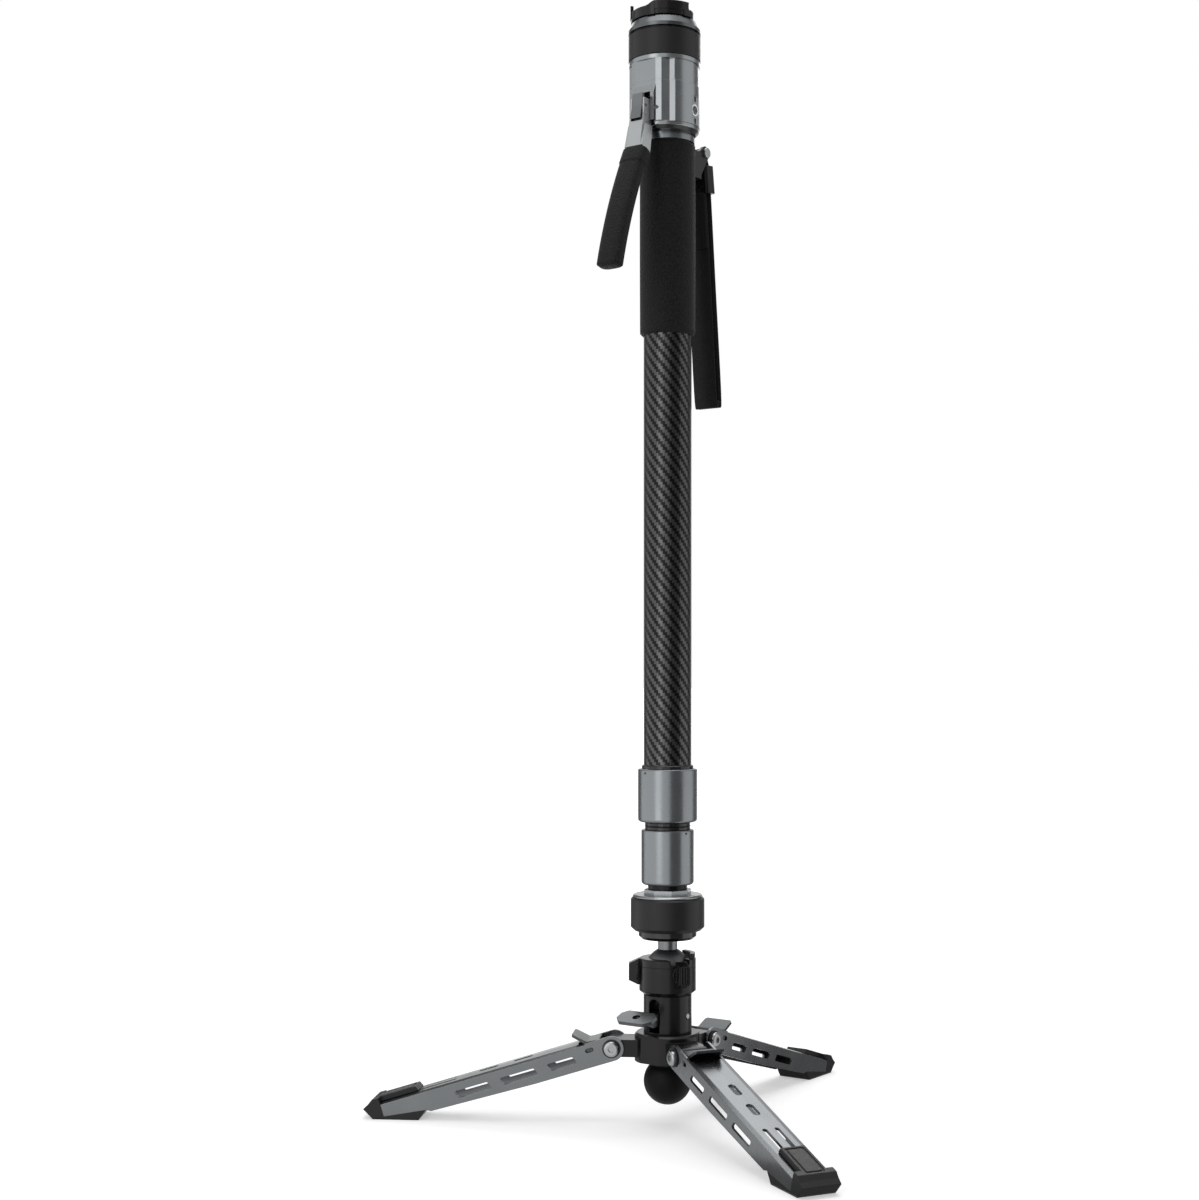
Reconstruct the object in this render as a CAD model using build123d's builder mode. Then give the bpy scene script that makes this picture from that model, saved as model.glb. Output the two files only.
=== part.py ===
from build123d import *
import os
from math import cos, radians, sin, sqrt, tan

# A camera monopod in millimetres. Z is up, the floor is Z = 0 under the column's axis, and the
# trigger and the pedal face -Y. Three folding feet carry a hub and a pedestal, a ball joint that
# pans and tilts, a telescoping column of three sections, and a head with a trigger, a lock ring
# and a camera screw.

os.makedirs("parts", exist_ok=True)

# Fits and clearances
run_gap = 0.3          # radial, between round faces of pieces that slide or turn on each other
pin_gap = 0.05         # radial, a pin in its hole
face_gap = 0.3         # between flat faces that pass each other
overrun = 3.0          # how far a cut runs past the face that it opens
edge_break = 0.6       # small chamfer on turned pieces

# Feet: three legs on one circle of pins
leg_names = {"left": 210, "front": 330, "rear": 90}
pin_circle = 40.0
pin_height = 55.3
leg_droop = 17.13      # degrees below the horizontal
leg_length = 177.0
leg_half_width = 14.1
leg_wall = 1.9
web_thickness = 1.8
knuckle_radius = 9.0
ridge_rise = 0.5       # the web's centre line above its shoulders
bevel_width = 3.6
bevel_drop = 1.0
belly_start = 61.3     # where the wall's lower edge starts to rise
belly_end = 141.9
belly_rise = 2.2
heel_start = 145.7     # the step up over the rubber heel
heel_step = 1.9
tip_depth = 9.9
web_start = 18.0       # where the bevelled web begins on the walls
tab_opening_end = 23.4
window_height = 5.5
window_drop = 0.5
window_slant = 2.6
window_corner = 1.3
window_spans = ((27.0, 50.0), (57.0, 86.5), (93.0, 121.5))
web_hole_width = 5.4
web_hole_length = 15.0
web_hole_places = (67.2, 94.4)
web_slot_width = 3.2
web_slot_start = 119.0
web_slot_end = 152.0
web_slot_spacing = 9.2

# Pins of the feet
pin_radius = 3.0
pin_head_radius = 5.7
pin_head_height = 3.0
pin_head_round = 1.9
washer_radius = 6.7
washer_thickness = 0.8
washer_gap = 0.15
socket_across = 4.0
socket_depth = 1.6
pin_screw_radius = 1.6
pin_screw_depth = 8.0

# Rubber feet
sole_heel = 153.0
sole_toe = 185.6
toe_nose = 190.5
toe_nose_rise = 8.5
toe_top = 186.2
toe_top_rise = 10.6
pad_rise = 13.2
pad_end = 182.5
pad_start = 147.6
pad_slope = 1.8
pad_half_width = 8.8
pad_rim = 1.6
pad_recess = 0.6
sole_half_width = 13.9
tongue_clearance = 0.1
toe_flare_start = 177.5

# Lock tabs of the feet
tab_travel = 3.0
tab_lip_cut = 12.0
tab_thickness = 1.8
tab_nose = 7.4
tab_floor = 1.0
tab_shelf = 9.0
tab_bend = 16.4
lip_reach = 25.4
lip_rise = 17.9
lip_corner = 3.0
tab_tail = 30.0
tab_tail_low = 2.6
tab_tail_high = 5.6
tab_stud_radius = 1.3
tab_stud_along = 14.5
tab_stud_up = 3.4

# Hub, rubber ball and pedestal
hub_radius = 24.3
hub_flat = 22.9
hub_bottom = 45.5
hub_height = 20.8
hub_top_bevel = 1.6
lug_half_height = 6.3
ball_foot_radius = 17.6
ball_foot_height = 30.3
ball_foot_neck = 13.0
stud_radius = 4.0
stud_length = 19.0
stud_in_hub = 11.0
spigot_radius = 10.0
spigot_depth = 7.0
pedestal_radius = 17.7
pedestal_height = 27.7

# Pedal and its plunger
pedal_axis_rise = 12.7     # cross pin above the hub's top
cross_pin_radius = 2.0
slot_width = 9.0
slot_rise = 25.6
slot_sill = 1.2
slot_depth = 10.5
slot_roof = 17.2
arm_half_width = 4.1
arm_boss = 4.5
arm_top_reach = 26.0
arm_elbow = 24.5
arm_elbow_drop = 6.6
pedal_centre = 39.8
pedal_rise = 3.5           # plate centre above the cross pin
pedal_slope = 21.0         # degrees
pedal_width = 30.6
pedal_depth = 16.4
pedal_plate = 2.6
pedal_corner = 4.8
pedal_hole = 2.9
tail_length = 8.6
tail_half_height = 2.4
plunger_radius = 2.8
plunger_place = 6.8
plunger_length = 4.6

# Ball joint
pan_spigot_radius = 10.0
pan_spigot_depth = 6.6
housing_radius = 20.9
housing_skirt = 2.6
housing_height = 20.7
cap_height = 5.7
ball_radius = 16.0
ball_rise = 18.2           # ball centre above the housing's foot
notch_angle = 332.0        # degrees, the side to which the column leans
notch_half_width = 7.6
notch_floor = 4.5          # above the ball centre
cap_lug_from = 15.0
cap_lug_to = 85.0
cap_lug_rise = 3.5
cap_lug_inner = 16.9
cap_lug_outer = 20.4
stem_radius = 7.1
stem_rise = 22.2           # stem's top above the ball centre
tension_angle = 213.0
lock_angle = 331.0
knob_drop = 2.0            # knob axis below the ball centre
knob_shank = 3.2
knob_shank_length = 4.2
knob_hub_radius = 7.0
knob_hub_depth = 1.6
wing_root = 9.6
wing_tip = 6.2
wing_reach = 7.2
wing_half_thickness = 4.3
wing_rib = 1.0
wing_rib_count = 3

# Coupling between the ball joint and the column
disc_radius = 21.4
disc_height = 5.9
disc_bevel = 2.2
socket_radius = 22.3
socket_bore = 18.5
socket_floor = 5.4
socket_height = 25.0
socket_screw_radius = 4.0
socket_screw_head = 6.5
socket_screw_head_height = 7.0
socket_screw_depth = 13.0
low_ring_radius = 27.2
low_ring_bevel = 2.6
low_ring_top_bevel = 1.5
base_plate_radius = 25.9
base_plate_thickness = 1.7
boss_across = 32.4
boss_height = 4.0
boss_flat_count = 8
base_spigot_drop = 12.0
base_spigot_floor = 3.0
index_hole = 1.5
index_circle = 22.4

# Column: each section slides in the next one
main_radius = 17.6
main_wall = 1.2
inner_wall = 1.1
slide_gap = 0.4
main_top = 740.0
lower_top = 680.0
middle_top = 700.0
middle_collar_radius = 19.4
middle_collar_gap = 3.1    # above the base boss
middle_collar_height = 40.4
collar_seat = 7.6
collar_round = 2.4
collar_top_round = 1.2
middle_seal_height = 5.0
middle_seal_radius = 16.7
seal_ridge = 0.5
upper_collar_gap = 0.5
upper_collar_radius = 21.9
upper_collar_height = 39.0
upper_seal_radius = 19.1
upper_seal_height = 2.7
brake_flange = 4.0
brake_spigot = 12.0
relay_radius = 5.2
relay_bore = 4.0
relay_bottom = 250.0
rod_radius = 3.0
rod_bottom = 262.0

# Grip
grip_radius = 20.5
grip_bottom = 577.0
grip_top = 717.6
grip_round = 1.6
neck_radius = 19.8
neck_height = 5.1

# Head
head_offset = 4.0          # the head's axis lies this far towards the trigger
skirt_radius = 25.2
skirt_height = 4.8
skirt_bevel = 2.4
body_radius = 25.7
body_height = 29.5
head_cap_radius = 25.2
head_cap_height = 15.7
facet_half = 9.0
facet_depth = 24.6
bevel_half = 13.2
bevel_depth = 23.0
recess_half = 16.3         # foot of the step up to the raised side panels
recess_depth = 17.35
panel_half = 20.2
panel_depth = 15.8
ear_inner = 6.2
ear_outer = 9.2
ear_reach = 31.4
ear_top = 20.0
ear_slope = 6.0
bay_wall = 1.4
pocket_reach = 6.2
pocket_floor = 1.0
pocket_height = 14.0
port_rise = 11.4
port_plane = 24.3
port_half_height = 10.8
port_half_width = 5.6
insert_outer = 4.2
insert_thread = 3.175
insert_length = 5.4
key_offset = 8.0
key_width = 2.0
key_length = 4.0
key_depth = 2.2
rim_radius = 26.0
rim_height = 2.9
core_radius = 22.6
core_flange_radius = 25.0
core_flange = 1.2
top_ring_radius = 26.35
top_ring_height = 19.1
bevel_ring_radius = 26.5
bevel_ring_top = 24.3
bevel_ring_height = 7.3
bevel_ring_land = 2.4
plate_foot_radius = 21.0
plate_foot_height = 1.2
plate_radius = 24.6
plate_back_radius = 21.6
plate_wall = 2.6
plate_floor = 3.3
plate_wall_height = 6.8
ear_height = 5.5
front_ear_height = 2.7
wall_end_turn = 7.0        # degrees, thickness of the outer wall's ends
ear_end_turn = 9.0         # degrees, where the front ear starts to slope down
ear_end_run = 5.4
ear_end_fall = 6.4
ear_angles = (318.5, 193.0, 73.0)
ear_half_span = 30.5
back_ear_half_span = 18.0
screw_radius = 4.76        # 3/8 inch camera thread
screw_shoulder = 5.6
screw_head_radius = 8.0
screw_head_height = 5.5
screw_length = 8.4

# Trigger lever
lever_pivot_reach = 29.5
lever_pivot_rise = 9.5     # above the head body's foot
lever_pin_radius = 1.8
lever_hub = 5.4
lever_half_width = 6.0
lever_shoulder_half = 7.6
lever_start_reach = 38.4
lever_start_height = 705.0
lever_end_reach = 72.4
lever_end_height = 615.0
lever_bow = 3.0
foam_half_width = 9.8
foam_half_depth = 5.6
foam_core_half_width = 6.0
foam_core_half_depth = 2.2
foam_corner = 3.4
sleeve_step = 0.5
sleeve_start_share = 0.14
core_end_share = 0.9
nose_thickness = 3.2
nose_rise = 5.6
nose_fork = 7.0
nose_tip = 2.0
rod_head_radius = 5.0
rod_head_height = 2.4
guard_reach = 36.0         # pin of the trigger's lock tab
guard_pin_radius = 1.3
guard_hub = 3.0
guard_half_width = 4.4
guard_thickness = 2.2
guard_top_rise = 9.0
guard_low_drop = 9.6
guard_low_out = 2.4
guard_lug_reach = 38.4

# Wrist strap at the back of the grip
anchor_half_width = 13.0
anchor_reach = 25.5
anchor_bottom = 696.0
anchor_top = 716.0
ear_strap_inner = 10.8
strap_pin_reach = 31.0
strap_pin_height = 716.5
strap_pin_radius = 2.4
strap_pin_head = 3.8
strap_pin_head_length = 2.2
strap_ear_radius = 5.0
ear_tilt = 20.0
webbing_half_width = 10.0
webbing_thickness = 1.5
webbing_play = 0.5
buckle_reach = 36.9
buckle_top = 708.5
buckle_bottom = 688.5
buckle_low_reach = 39.6
buckle_half_width = 13.0
buckle_half_depth = 5.8
buckle_corner = 2.6
strap_end_reach = 54.0
strap_end_height = 538.0
strap_middle = 620.0
strap_middle_reach = 46.2
tail_end_height = 648.0
tail_end_reach = 47.6

# Heights of the stack, from the floor up
hub_top = hub_bottom + hub_height
pedestal_top = hub_top + pedestal_height
pedal_axis = hub_top + pedal_axis_rise
housing_foot = pedestal_top + face_gap
ball_height = housing_foot + ball_rise
housing_top = housing_foot + housing_height
stem_top = ball_height + stem_rise
disc_top = stem_top + disc_height
socket_top = disc_top + socket_height
plate_top = socket_top + base_plate_thickness
boss_top = plate_top + boss_height
middle_collar_foot = boss_top + middle_collar_gap
middle_collar_top = middle_collar_foot + middle_collar_height
middle_seal_top = middle_collar_top + middle_seal_height
upper_collar_foot = middle_seal_top + upper_collar_gap
upper_collar_top = upper_collar_foot + upper_collar_height
neck_top = grip_top + neck_height
body_foot = neck_top + skirt_height
body_top = body_foot + body_height
head_cap_top = body_top + head_cap_height
rim_top = head_cap_top + rim_height
top_ring_foot = rim_top + face_gap
top_ring_top = top_ring_foot + top_ring_height
core_top = top_ring_top + face_gap + core_flange
bevel_top = core_top + bevel_ring_height
plate_base = bevel_top + plate_foot_height
lever_pivot_height = body_foot + lever_pivot_rise

# Radii of the nested sections
main_bore = main_radius - main_wall
middle_radius = main_bore - slide_gap
middle_bore = middle_radius - inner_wall
lower_radius = middle_bore - slide_gap
lower_bore = lower_radius - inner_wall
base_spigot_bottom = socket_top - base_spigot_drop
lower_foot = base_spigot_bottom + base_spigot_floor
leg_inner_half = leg_half_width - leg_wall


def save(piece, name):
    """Label a finished piece and write it under its own name."""
    piece.part.label = name
    export_step(piece.part, f"parts/{name}.step")


def turned(profile, offset=0):
    """A turned piece from half its section: corners as (radius, height)."""
    plane = Plane((0, -offset, 0), x_dir=(1, 0, 0), z_dir=(0, -1, 0))
    with BuildPart() as piece:
        with BuildSketch(plane):
            with BuildLine():
                Polyline(*profile, close=True)
            make_face()
        revolve(axis=Axis((0, -offset, 0), (0, 0, 1)))
    return piece


def tube(outer, bore, bottom, top):
    """A plain tube on the column's axis."""
    return turned([(bore, bottom), (outer, bottom), (outer, top), (bore, top)])


def leg_plane(angle, droop=0):
    """Side plane of a leg: X runs out along it, Y up from it, and its pin is the origin."""
    out = Vector(cos(radians(angle)), sin(radians(angle)), 0)
    up = Vector(0, 0, 1)
    along = out * cos(radians(droop)) - up * sin(radians(droop))
    above = up * cos(radians(droop)) + out * sin(radians(droop))
    return Plane(out * pin_circle + up * pin_height, x_dir=along, z_dir=along.cross(above))


def radial_plane(angle, reach, height):
    """A plane that faces outwards from the column's axis: X is level, Y is up."""
    out = Vector(cos(radians(angle)), sin(radians(angle)), 0)
    return Plane(out * reach + Vector(0, 0, height), x_dir=Vector(0, 0, 1).cross(out), z_dir=out)


# Side planes towards the trigger and towards the strap: X runs out, Y is up
front_side = Plane((0, 0, 0), x_dir=(0, -1, 0), z_dir=(-1, 0, 0))
back_side = Plane((0, 0, 0), x_dir=(0, 1, 0), z_dir=(1, 0, 0))


# Hub with three lugs

with BuildPart() as hub:
    with BuildSketch(Plane.XY.offset(hub_bottom)):
        Circle(hub_radius)
    extrude(amount=hub_height)
    chamfer(hub.faces().sort_by(Axis.Z)[-1].edges(), hub_top_bevel)
    for angle in leg_names.values():
        with BuildSketch(radial_plane(angle + 180, hub_flat, hub_bottom)):
            Rectangle(2 * hub_radius, 2 * (hub_height + overrun))
        extrude(amount=overrun, mode=Mode.SUBTRACT)
    for angle in leg_names.values():
        with BuildSketch(leg_plane(angle)):
            Circle(lug_half_height)
            with Locations((-pin_circle / 2, 0)):
                Rectangle(pin_circle, 2 * lug_half_height)
        extrude(amount=leg_inner_half - face_gap, both=True)
    for angle in leg_names.values():
        with BuildSketch(leg_plane(angle)):
            Circle(pin_radius + pin_gap)
        extrude(amount=leg_half_width, both=True, mode=Mode.SUBTRACT)
    with BuildSketch(Plane.XY.offset(hub_bottom)):
        Circle(stud_radius)
    extrude(amount=stud_in_hub, mode=Mode.SUBTRACT)
    with BuildSketch(Plane.XY.offset(hub_top)):
        Circle(spigot_radius)
    extrude(amount=-spigot_depth, mode=Mode.SUBTRACT)
save(hub, "hub")

stud_top = hub_bottom + stud_in_hub
foot_stud = tube(stud_radius, 0, stud_top - stud_length, stud_top)
save(foot_stud, "foot_stud")

with BuildPart() as ball_foot:
    with Locations((0, 0, ball_foot_height)):
        Sphere(ball_foot_radius)
    with BuildSketch(Plane.XY.offset(ball_foot_height)):
        Circle(ball_foot_neck)
    extrude(amount=hub_bottom - ball_foot_height)
    with BuildSketch(Plane.XY.offset(hub_bottom)):
        Circle(ball_foot_radius)
    extrude(amount=hub_height, mode=Mode.SUBTRACT)
    with BuildSketch(Plane.XY.offset(hub_bottom)):
        Circle(stud_radius)
    extrude(amount=stud_in_hub - stud_length, mode=Mode.SUBTRACT)
save(ball_foot, "ball_foot")


# Pins of the feet: each is a headed sleeve, a screw that closes it and two washers

washer_face = leg_half_width + washer_gap
head_face = washer_face + washer_thickness


def headed(plane, radius, length, bore=0, bore_depth=0):
    """A button-headed pin whose shank runs back from the head's face, which is the plane."""
    with BuildPart() as pin:
        with BuildSketch(plane):
            Circle(pin_head_radius)
        extrude(amount=pin_head_height)
        fillet(pin.edges().group_by(Axis(plane.origin, plane.z_dir))[-1], pin_head_round)
        with BuildSketch(plane.offset(pin_head_height)):
            RegularPolygon(socket_across / 2, 6, major_radius=False)
        extrude(amount=-socket_depth, mode=Mode.SUBTRACT)
        with BuildSketch(plane):
            Circle(radius)
        extrude(amount=-length)
        if bore:
            with BuildSketch(plane.offset(-length)):
                Circle(bore)
            extrude(amount=bore_depth, mode=Mode.SUBTRACT)
    return pin.part


pin_solids = [headed(leg_plane(angle).offset(head_face), pin_radius, 2 * head_face,
                     pin_screw_radius, pin_screw_depth) for angle in leg_names.values()]
with BuildPart() as leg_pins:
    add(pin_solids)
save(leg_pins, "leg_pins")


def far_side(plane):
    """The same plane facing the other way."""
    return Plane(plane.origin, x_dir=plane.x_dir, z_dir=-plane.z_dir)


screw_solids = [headed(far_side(leg_plane(angle)).offset(head_face), pin_screw_radius,
                       pin_screw_depth) for angle in leg_names.values()]
with BuildPart() as pin_screws:
    add(screw_solids)
save(pin_screws, "pin_screws")

with BuildPart() as pivot_washers:
    for angle in leg_names.values():
        for face in (washer_face, -head_face):
            with BuildSketch(leg_plane(angle).offset(face)):
                Circle(washer_radius)
                Circle(pin_radius + pin_gap, mode=Mode.SUBTRACT)
            extrude(amount=washer_thickness)
save(pivot_washers, "pivot_washers")


# Legs: open channels with windows in their walls

def floor_line(along):
    """Height of the floor in a leg's own frame, at a distance along the leg."""
    return (along * sin(radians(leg_droop)) - pin_height) / cos(radians(leg_droop))


belly_low = -knuckle_radius
belly_high = belly_low + belly_rise
heel_high = belly_high + heel_step
tip_low = knuckle_radius - tip_depth
web_top = knuckle_radius + ridge_rise
web_under = knuckle_radius - web_thickness


def leg_channel(angle):
    """One leg, bent from a channel: two walls with rounded ends under a ridged web."""
    side = leg_plane(angle, leg_droop)
    top = Plane(side.from_local_coords((0, web_top, 0)), x_dir=side.x_dir, z_dir=side.y_dir)
    tip = Plane(side.from_local_coords((leg_length + overrun, 0, 0)),
                x_dir=side.z_dir, z_dir=-side.x_dir)
    with BuildPart() as leg:
        with BuildSketch(side):
            with BuildLine():
                Polyline((0, belly_low), (belly_start, belly_low), (belly_end, belly_high),
                         (heel_start, heel_high), (leg_length, tip_low), (leg_length, web_top),
                         (web_start, web_top), (web_start, knuckle_radius), (0, knuckle_radius))
                ThreePointArc((0, knuckle_radius), (-knuckle_radius, 0), (0, belly_low))
            make_face()
        extrude(amount=leg_half_width, both=True)
        with BuildSketch(side):
            with BuildLine():
                Polyline((-knuckle_radius - overrun, belly_low - overrun),
                         (leg_length + overrun, belly_low - overrun),
                         (leg_length + overrun, web_under), (tab_opening_end, web_under),
                         (tab_opening_end, web_top + overrun),
                         (-knuckle_radius - overrun, web_top + overrun), close=True)
            make_face()
        extrude(amount=leg_inner_half, both=True, mode=Mode.SUBTRACT)
        shoulder = leg_half_width - bevel_width
        for turn in (1, -1):
            with BuildSketch(tip):
                with BuildLine():
                    Polyline((0, web_top), (turn * shoulder, knuckle_radius),
                             (turn * leg_half_width, knuckle_radius - bevel_drop),
                             (turn * (leg_half_width + overrun), knuckle_radius - bevel_drop),
                             (turn * (leg_half_width + overrun), web_top + overrun),
                             (0, web_top + overrun), close=True)
                make_face()
            extrude(amount=leg_length + overrun - web_start, mode=Mode.SUBTRACT)
        window_high = window_height / 2 - window_drop
        window_low = -window_height / 2 - window_drop
        for start, end in window_spans:
            with BuildSketch(side) as window:
                with BuildLine():
                    Polyline((start + window_slant, window_high), (end, window_high),
                             (end - window_slant, window_low), (start, window_low), close=True)
                make_face()
                fillet(window.vertices(), window_corner)
            extrude(amount=leg_half_width + overrun, both=True, mode=Mode.SUBTRACT)
        with BuildSketch(side):
            Circle(pin_radius + pin_gap)
            with Locations((tab_stud_along + tab_travel / 2, tab_stud_up)):
                SlotCenterToCenter(tab_travel, 2 * (tab_stud_radius + run_gap))
        extrude(amount=leg_half_width + overrun, both=True, mode=Mode.SUBTRACT)
        with BuildSketch(top):
            for place in web_hole_places:
                with Locations((place, 0)):
                    SlotOverall(web_hole_length, web_hole_width)
            for turn in (1, -1):
                with Locations(((web_slot_start + web_slot_end) / 2, turn * web_slot_spacing / 2)):
                    SlotOverall(web_slot_end - web_slot_start, web_slot_width)
        extrude(amount=-web_thickness - ridge_rise - overrun, mode=Mode.SUBTRACT)
    return leg


def rubber_foot(angle):
    """The rubber shoe of a leg: sole, tongue between the walls, pad on the web and toe."""
    side = leg_plane(angle, leg_droop)
    tongue_top = web_under - tongue_clearance
    pad_high_start = pad_start + pad_slope
    with BuildPart() as foot:
        with BuildSketch(side):
            with BuildLine():
                Polyline((heel_start, heel_high), (sole_heel, floor_line(sole_heel)),
                         (sole_toe, floor_line(sole_toe)), (leg_length, tip_low), close=True)
            make_face()
        extrude(amount=sole_half_width, both=True)
        with BuildSketch(side):
            with BuildLine():
                Polyline((heel_start, heel_high), (sole_heel, floor_line(sole_heel)),
                         (sole_toe, floor_line(sole_toe)), (sole_toe, tongue_top),
                         (heel_start, tongue_top), close=True)
            make_face()
        extrude(amount=leg_inner_half - tongue_clearance, both=True)
        with BuildSketch(side):
            with BuildLine():
                Polyline((leg_length, tip_low), (sole_toe, floor_line(sole_toe)),
                         (toe_nose, toe_nose_rise), (toe_top, toe_top_rise), (pad_end, pad_rise),
                         (toe_flare_start, pad_rise), (leg_length, knuckle_radius), close=True)
            make_face()
        extrude(amount=leg_half_width, both=True)
        with BuildSketch(side):
            with BuildLine():
                Polyline((pad_start, web_top), (pad_high_start, pad_rise), (pad_end, pad_rise),
                         (pad_end, web_top), close=True)
            make_face()
        extrude(amount=pad_half_width, both=True)
        pad_top = Plane(side.from_local_coords((0, pad_rise, 0)),
                        x_dir=side.x_dir, z_dir=side.y_dir)
        recess_start = pad_high_start + pad_rim
        recess_end = pad_end - pad_rim
        with BuildSketch(pad_top):
            with Locations(((recess_start + recess_end) / 2, 0)):
                RectangleRounded(recess_end - recess_start, 2 * (pad_half_width - pad_rim),
                                 pad_rim)
                RectangleRounded(recess_end - recess_start - 2 * pad_rim,
                                 2 * (pad_half_width - 2 * pad_rim), pad_rim / 2,
                                 mode=Mode.SUBTRACT)
        extrude(amount=-pad_recess, mode=Mode.SUBTRACT)
    return foot


def lock_tab(angle):
    """The sliding thumb tab that locks a leg: nose, shelf and lip, guided by two studs."""
    side = leg_plane(angle, leg_droop)
    slope = (lip_rise - tab_shelf) / (lip_reach - tab_bend)
    with BuildPart() as tab:
        with BuildSketch(side):
            with BuildLine():
                Polyline((tab_nose, tab_floor), (tab_nose, tab_shelf - edge_break),
                         (tab_nose + edge_break, tab_shelf), (tab_bend, tab_shelf + edge_break),
                         (lip_reach, lip_rise), (lip_reach + edge_break, lip_rise - tab_thickness),
                         (tab_bend + tab_thickness, tab_shelf - tab_thickness + slope),
                         (tab_bend + tab_thickness, tab_tail_high), (tab_tail, tab_tail_high),
                         (tab_tail, tab_tail_low), (2 * tab_nose, tab_floor), close=True)
            make_face()
        extrude(amount=leg_inner_half - face_gap, both=True)
        lip = Plane(side.from_local_coords((lip_reach, lip_rise, 0)), x_dir=side.z_dir,
                    z_dir=side.x_dir * -slope + side.y_dir)
        for turn in (1, -1):
            with BuildSketch(lip.offset(overrun)):
                with BuildLine():
                    Polyline((turn * (leg_inner_half + overrun), overrun + lip_corner),
                             (turn * (leg_inner_half + overrun), -lip_corner - overrun),
                             (turn * (leg_inner_half - face_gap - lip_corner - overrun),
                              overrun + lip_corner), close=True)
                make_face()
            extrude(amount=-tab_lip_cut, mode=Mode.SUBTRACT)
        with BuildSketch(side):
            with Locations((tab_stud_along, tab_stud_up)):
                Circle(tab_stud_radius)
        extrude(amount=leg_half_width, both=True)
    return tab


for name, angle in leg_names.items():
    save(leg_channel(angle), f"leg_{name}")
    save(rubber_foot(angle), f"foot_{name}")
    save(lock_tab(angle), f"lock_tab_{name}")


# Pedestal with its slot, and the pedal that reaches through it

slot_half = slot_width / 2
with BuildPart() as pedestal:
    with BuildSketch(Plane.XY.offset(hub_top - spigot_depth)):
        Circle(spigot_radius)
    extrude(amount=spigot_depth)
    with BuildSketch(Plane.XY.offset(hub_top)):
        Circle(pedestal_radius)
    extrude(amount=pedestal_height)
    with BuildSketch(Plane.XY.offset(pedestal_top)):
        Circle(pan_spigot_radius + run_gap)
    extrude(amount=-pan_spigot_depth - face_gap, mode=Mode.SUBTRACT)
    with BuildSketch(Plane.XZ):
        with Locations((0, hub_top + (slot_sill + slot_roof) / 2)):
            Rectangle(slot_width, slot_roof - slot_sill)
    extrude(amount=pedestal_radius + overrun, mode=Mode.SUBTRACT)
    with BuildSketch(Plane.XZ.offset(-slot_depth)):
        with Locations((0, hub_top + (slot_sill + slot_roof) / 2)):
            Rectangle(slot_width, slot_roof - slot_sill)
    extrude(amount=slot_depth, mode=Mode.SUBTRACT)
    with BuildSketch(Plane.XZ.offset(pan_spigot_radius + run_gap)):
        with Locations((0, hub_top + (slot_sill + slot_rise - slot_half) / 2)):
            Rectangle(slot_width, slot_rise - slot_half - slot_sill)
        with Locations((0, hub_top + slot_rise - slot_half)):
            Circle(slot_half)
    extrude(amount=pedestal_radius, mode=Mode.SUBTRACT)
    with BuildSketch(Plane.YZ):
        with Locations((0, pedal_axis)):
            Circle(cross_pin_radius + pin_gap)
    extrude(amount=pedestal_radius + overrun, both=True, mode=Mode.SUBTRACT)
    with BuildSketch(Plane.XY.offset(hub_top + slot_roof - face_gap)):
        with Locations((0, plunger_place)):
            Circle(plunger_radius + run_gap)
    extrude(amount=pedestal_height - slot_roof, mode=Mode.SUBTRACT)
save(pedestal, "pedestal")

with BuildPart() as cross_pin:
    with BuildSketch(Plane.YZ):
        with Locations((0, pedal_axis)):
            Circle(cross_pin_radius)
    extrude(amount=pedestal_radius + edge_break, both=True)
    fillet(cross_pin.edges().filter_by(GeomType.CIRCLE), edge_break)
save(cross_pin, "cross_pin")

pedal_top = Plane((0, -pedal_centre, pedal_axis + pedal_rise), x_dir=(1, 0, 0),
                  z_dir=(0, -sin(radians(pedal_slope)), cos(radians(pedal_slope))))
plate_fall = tan(radians(pedal_slope))
with BuildPart() as pedal:
    with BuildSketch(pedal_top.offset(-pedal_plate)) as plate_outline:
        Rectangle(pedal_width, pedal_depth)
        chamfer(plate_outline.vertices(), pedal_corner)
    extrude(amount=pedal_plate)
    chamfer(pedal.faces().sort_by(Axis.Z)[-1].edges(), edge_break)
    under_near = pedal_axis + pedal_rise - pedal_plate + (pedal_centre - arm_top_reach) * plate_fall
    under_far = pedal_axis + pedal_rise - pedal_plate
    with BuildSketch(front_side):
        with Locations((0, pedal_axis)):
            Circle(arm_boss)
        with BuildLine():
            Polyline((0, pedal_axis + arm_boss), (arm_top_reach, pedal_axis + arm_boss / 2),
                     (pedal_centre - pedal_depth / 2 + pedal_plate, under_far + pedal_plate),
                     (pedal_centre + edge_break, under_far + edge_break),
                     (pedal_centre - pedal_plate, under_far - pedal_plate),
                     (arm_elbow, pedal_axis - arm_elbow_drop), (0, pedal_axis - arm_boss),
                     close=True)
        make_face()
        with Locations((-tail_length / 2, pedal_axis)):
            Rectangle(tail_length, 2 * tail_half_height)
    extrude(amount=arm_half_width, both=True)
    with BuildSketch(front_side):
        with Locations((0, pedal_axis)):
            Circle(cross_pin_radius + pin_gap)
    extrude(amount=arm_half_width + overrun, both=True, mode=Mode.SUBTRACT)
    with BuildSketch(pedal_top.offset(overrun)):
        Circle(pedal_hole)
    extrude(amount=-pedal_plate - overrun + edge_break, mode=Mode.SUBTRACT)
save(pedal, "pedal")

plunger_foot = pedal_axis + tail_half_height + face_gap
with BuildPart() as pan_plunger:
    with BuildSketch(Plane.XY.offset(plunger_foot)):
        with Locations((0, plunger_place)):
            Circle(plunger_radius)
    extrude(amount=plunger_length)
save(pan_plunger, "pan_plunger")


# Ball joint: housing, cap, two knobs and the ball on its stem

ball_centre = Vector(0, 0, ball_height)
knob_height = ball_height - knob_drop

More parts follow.
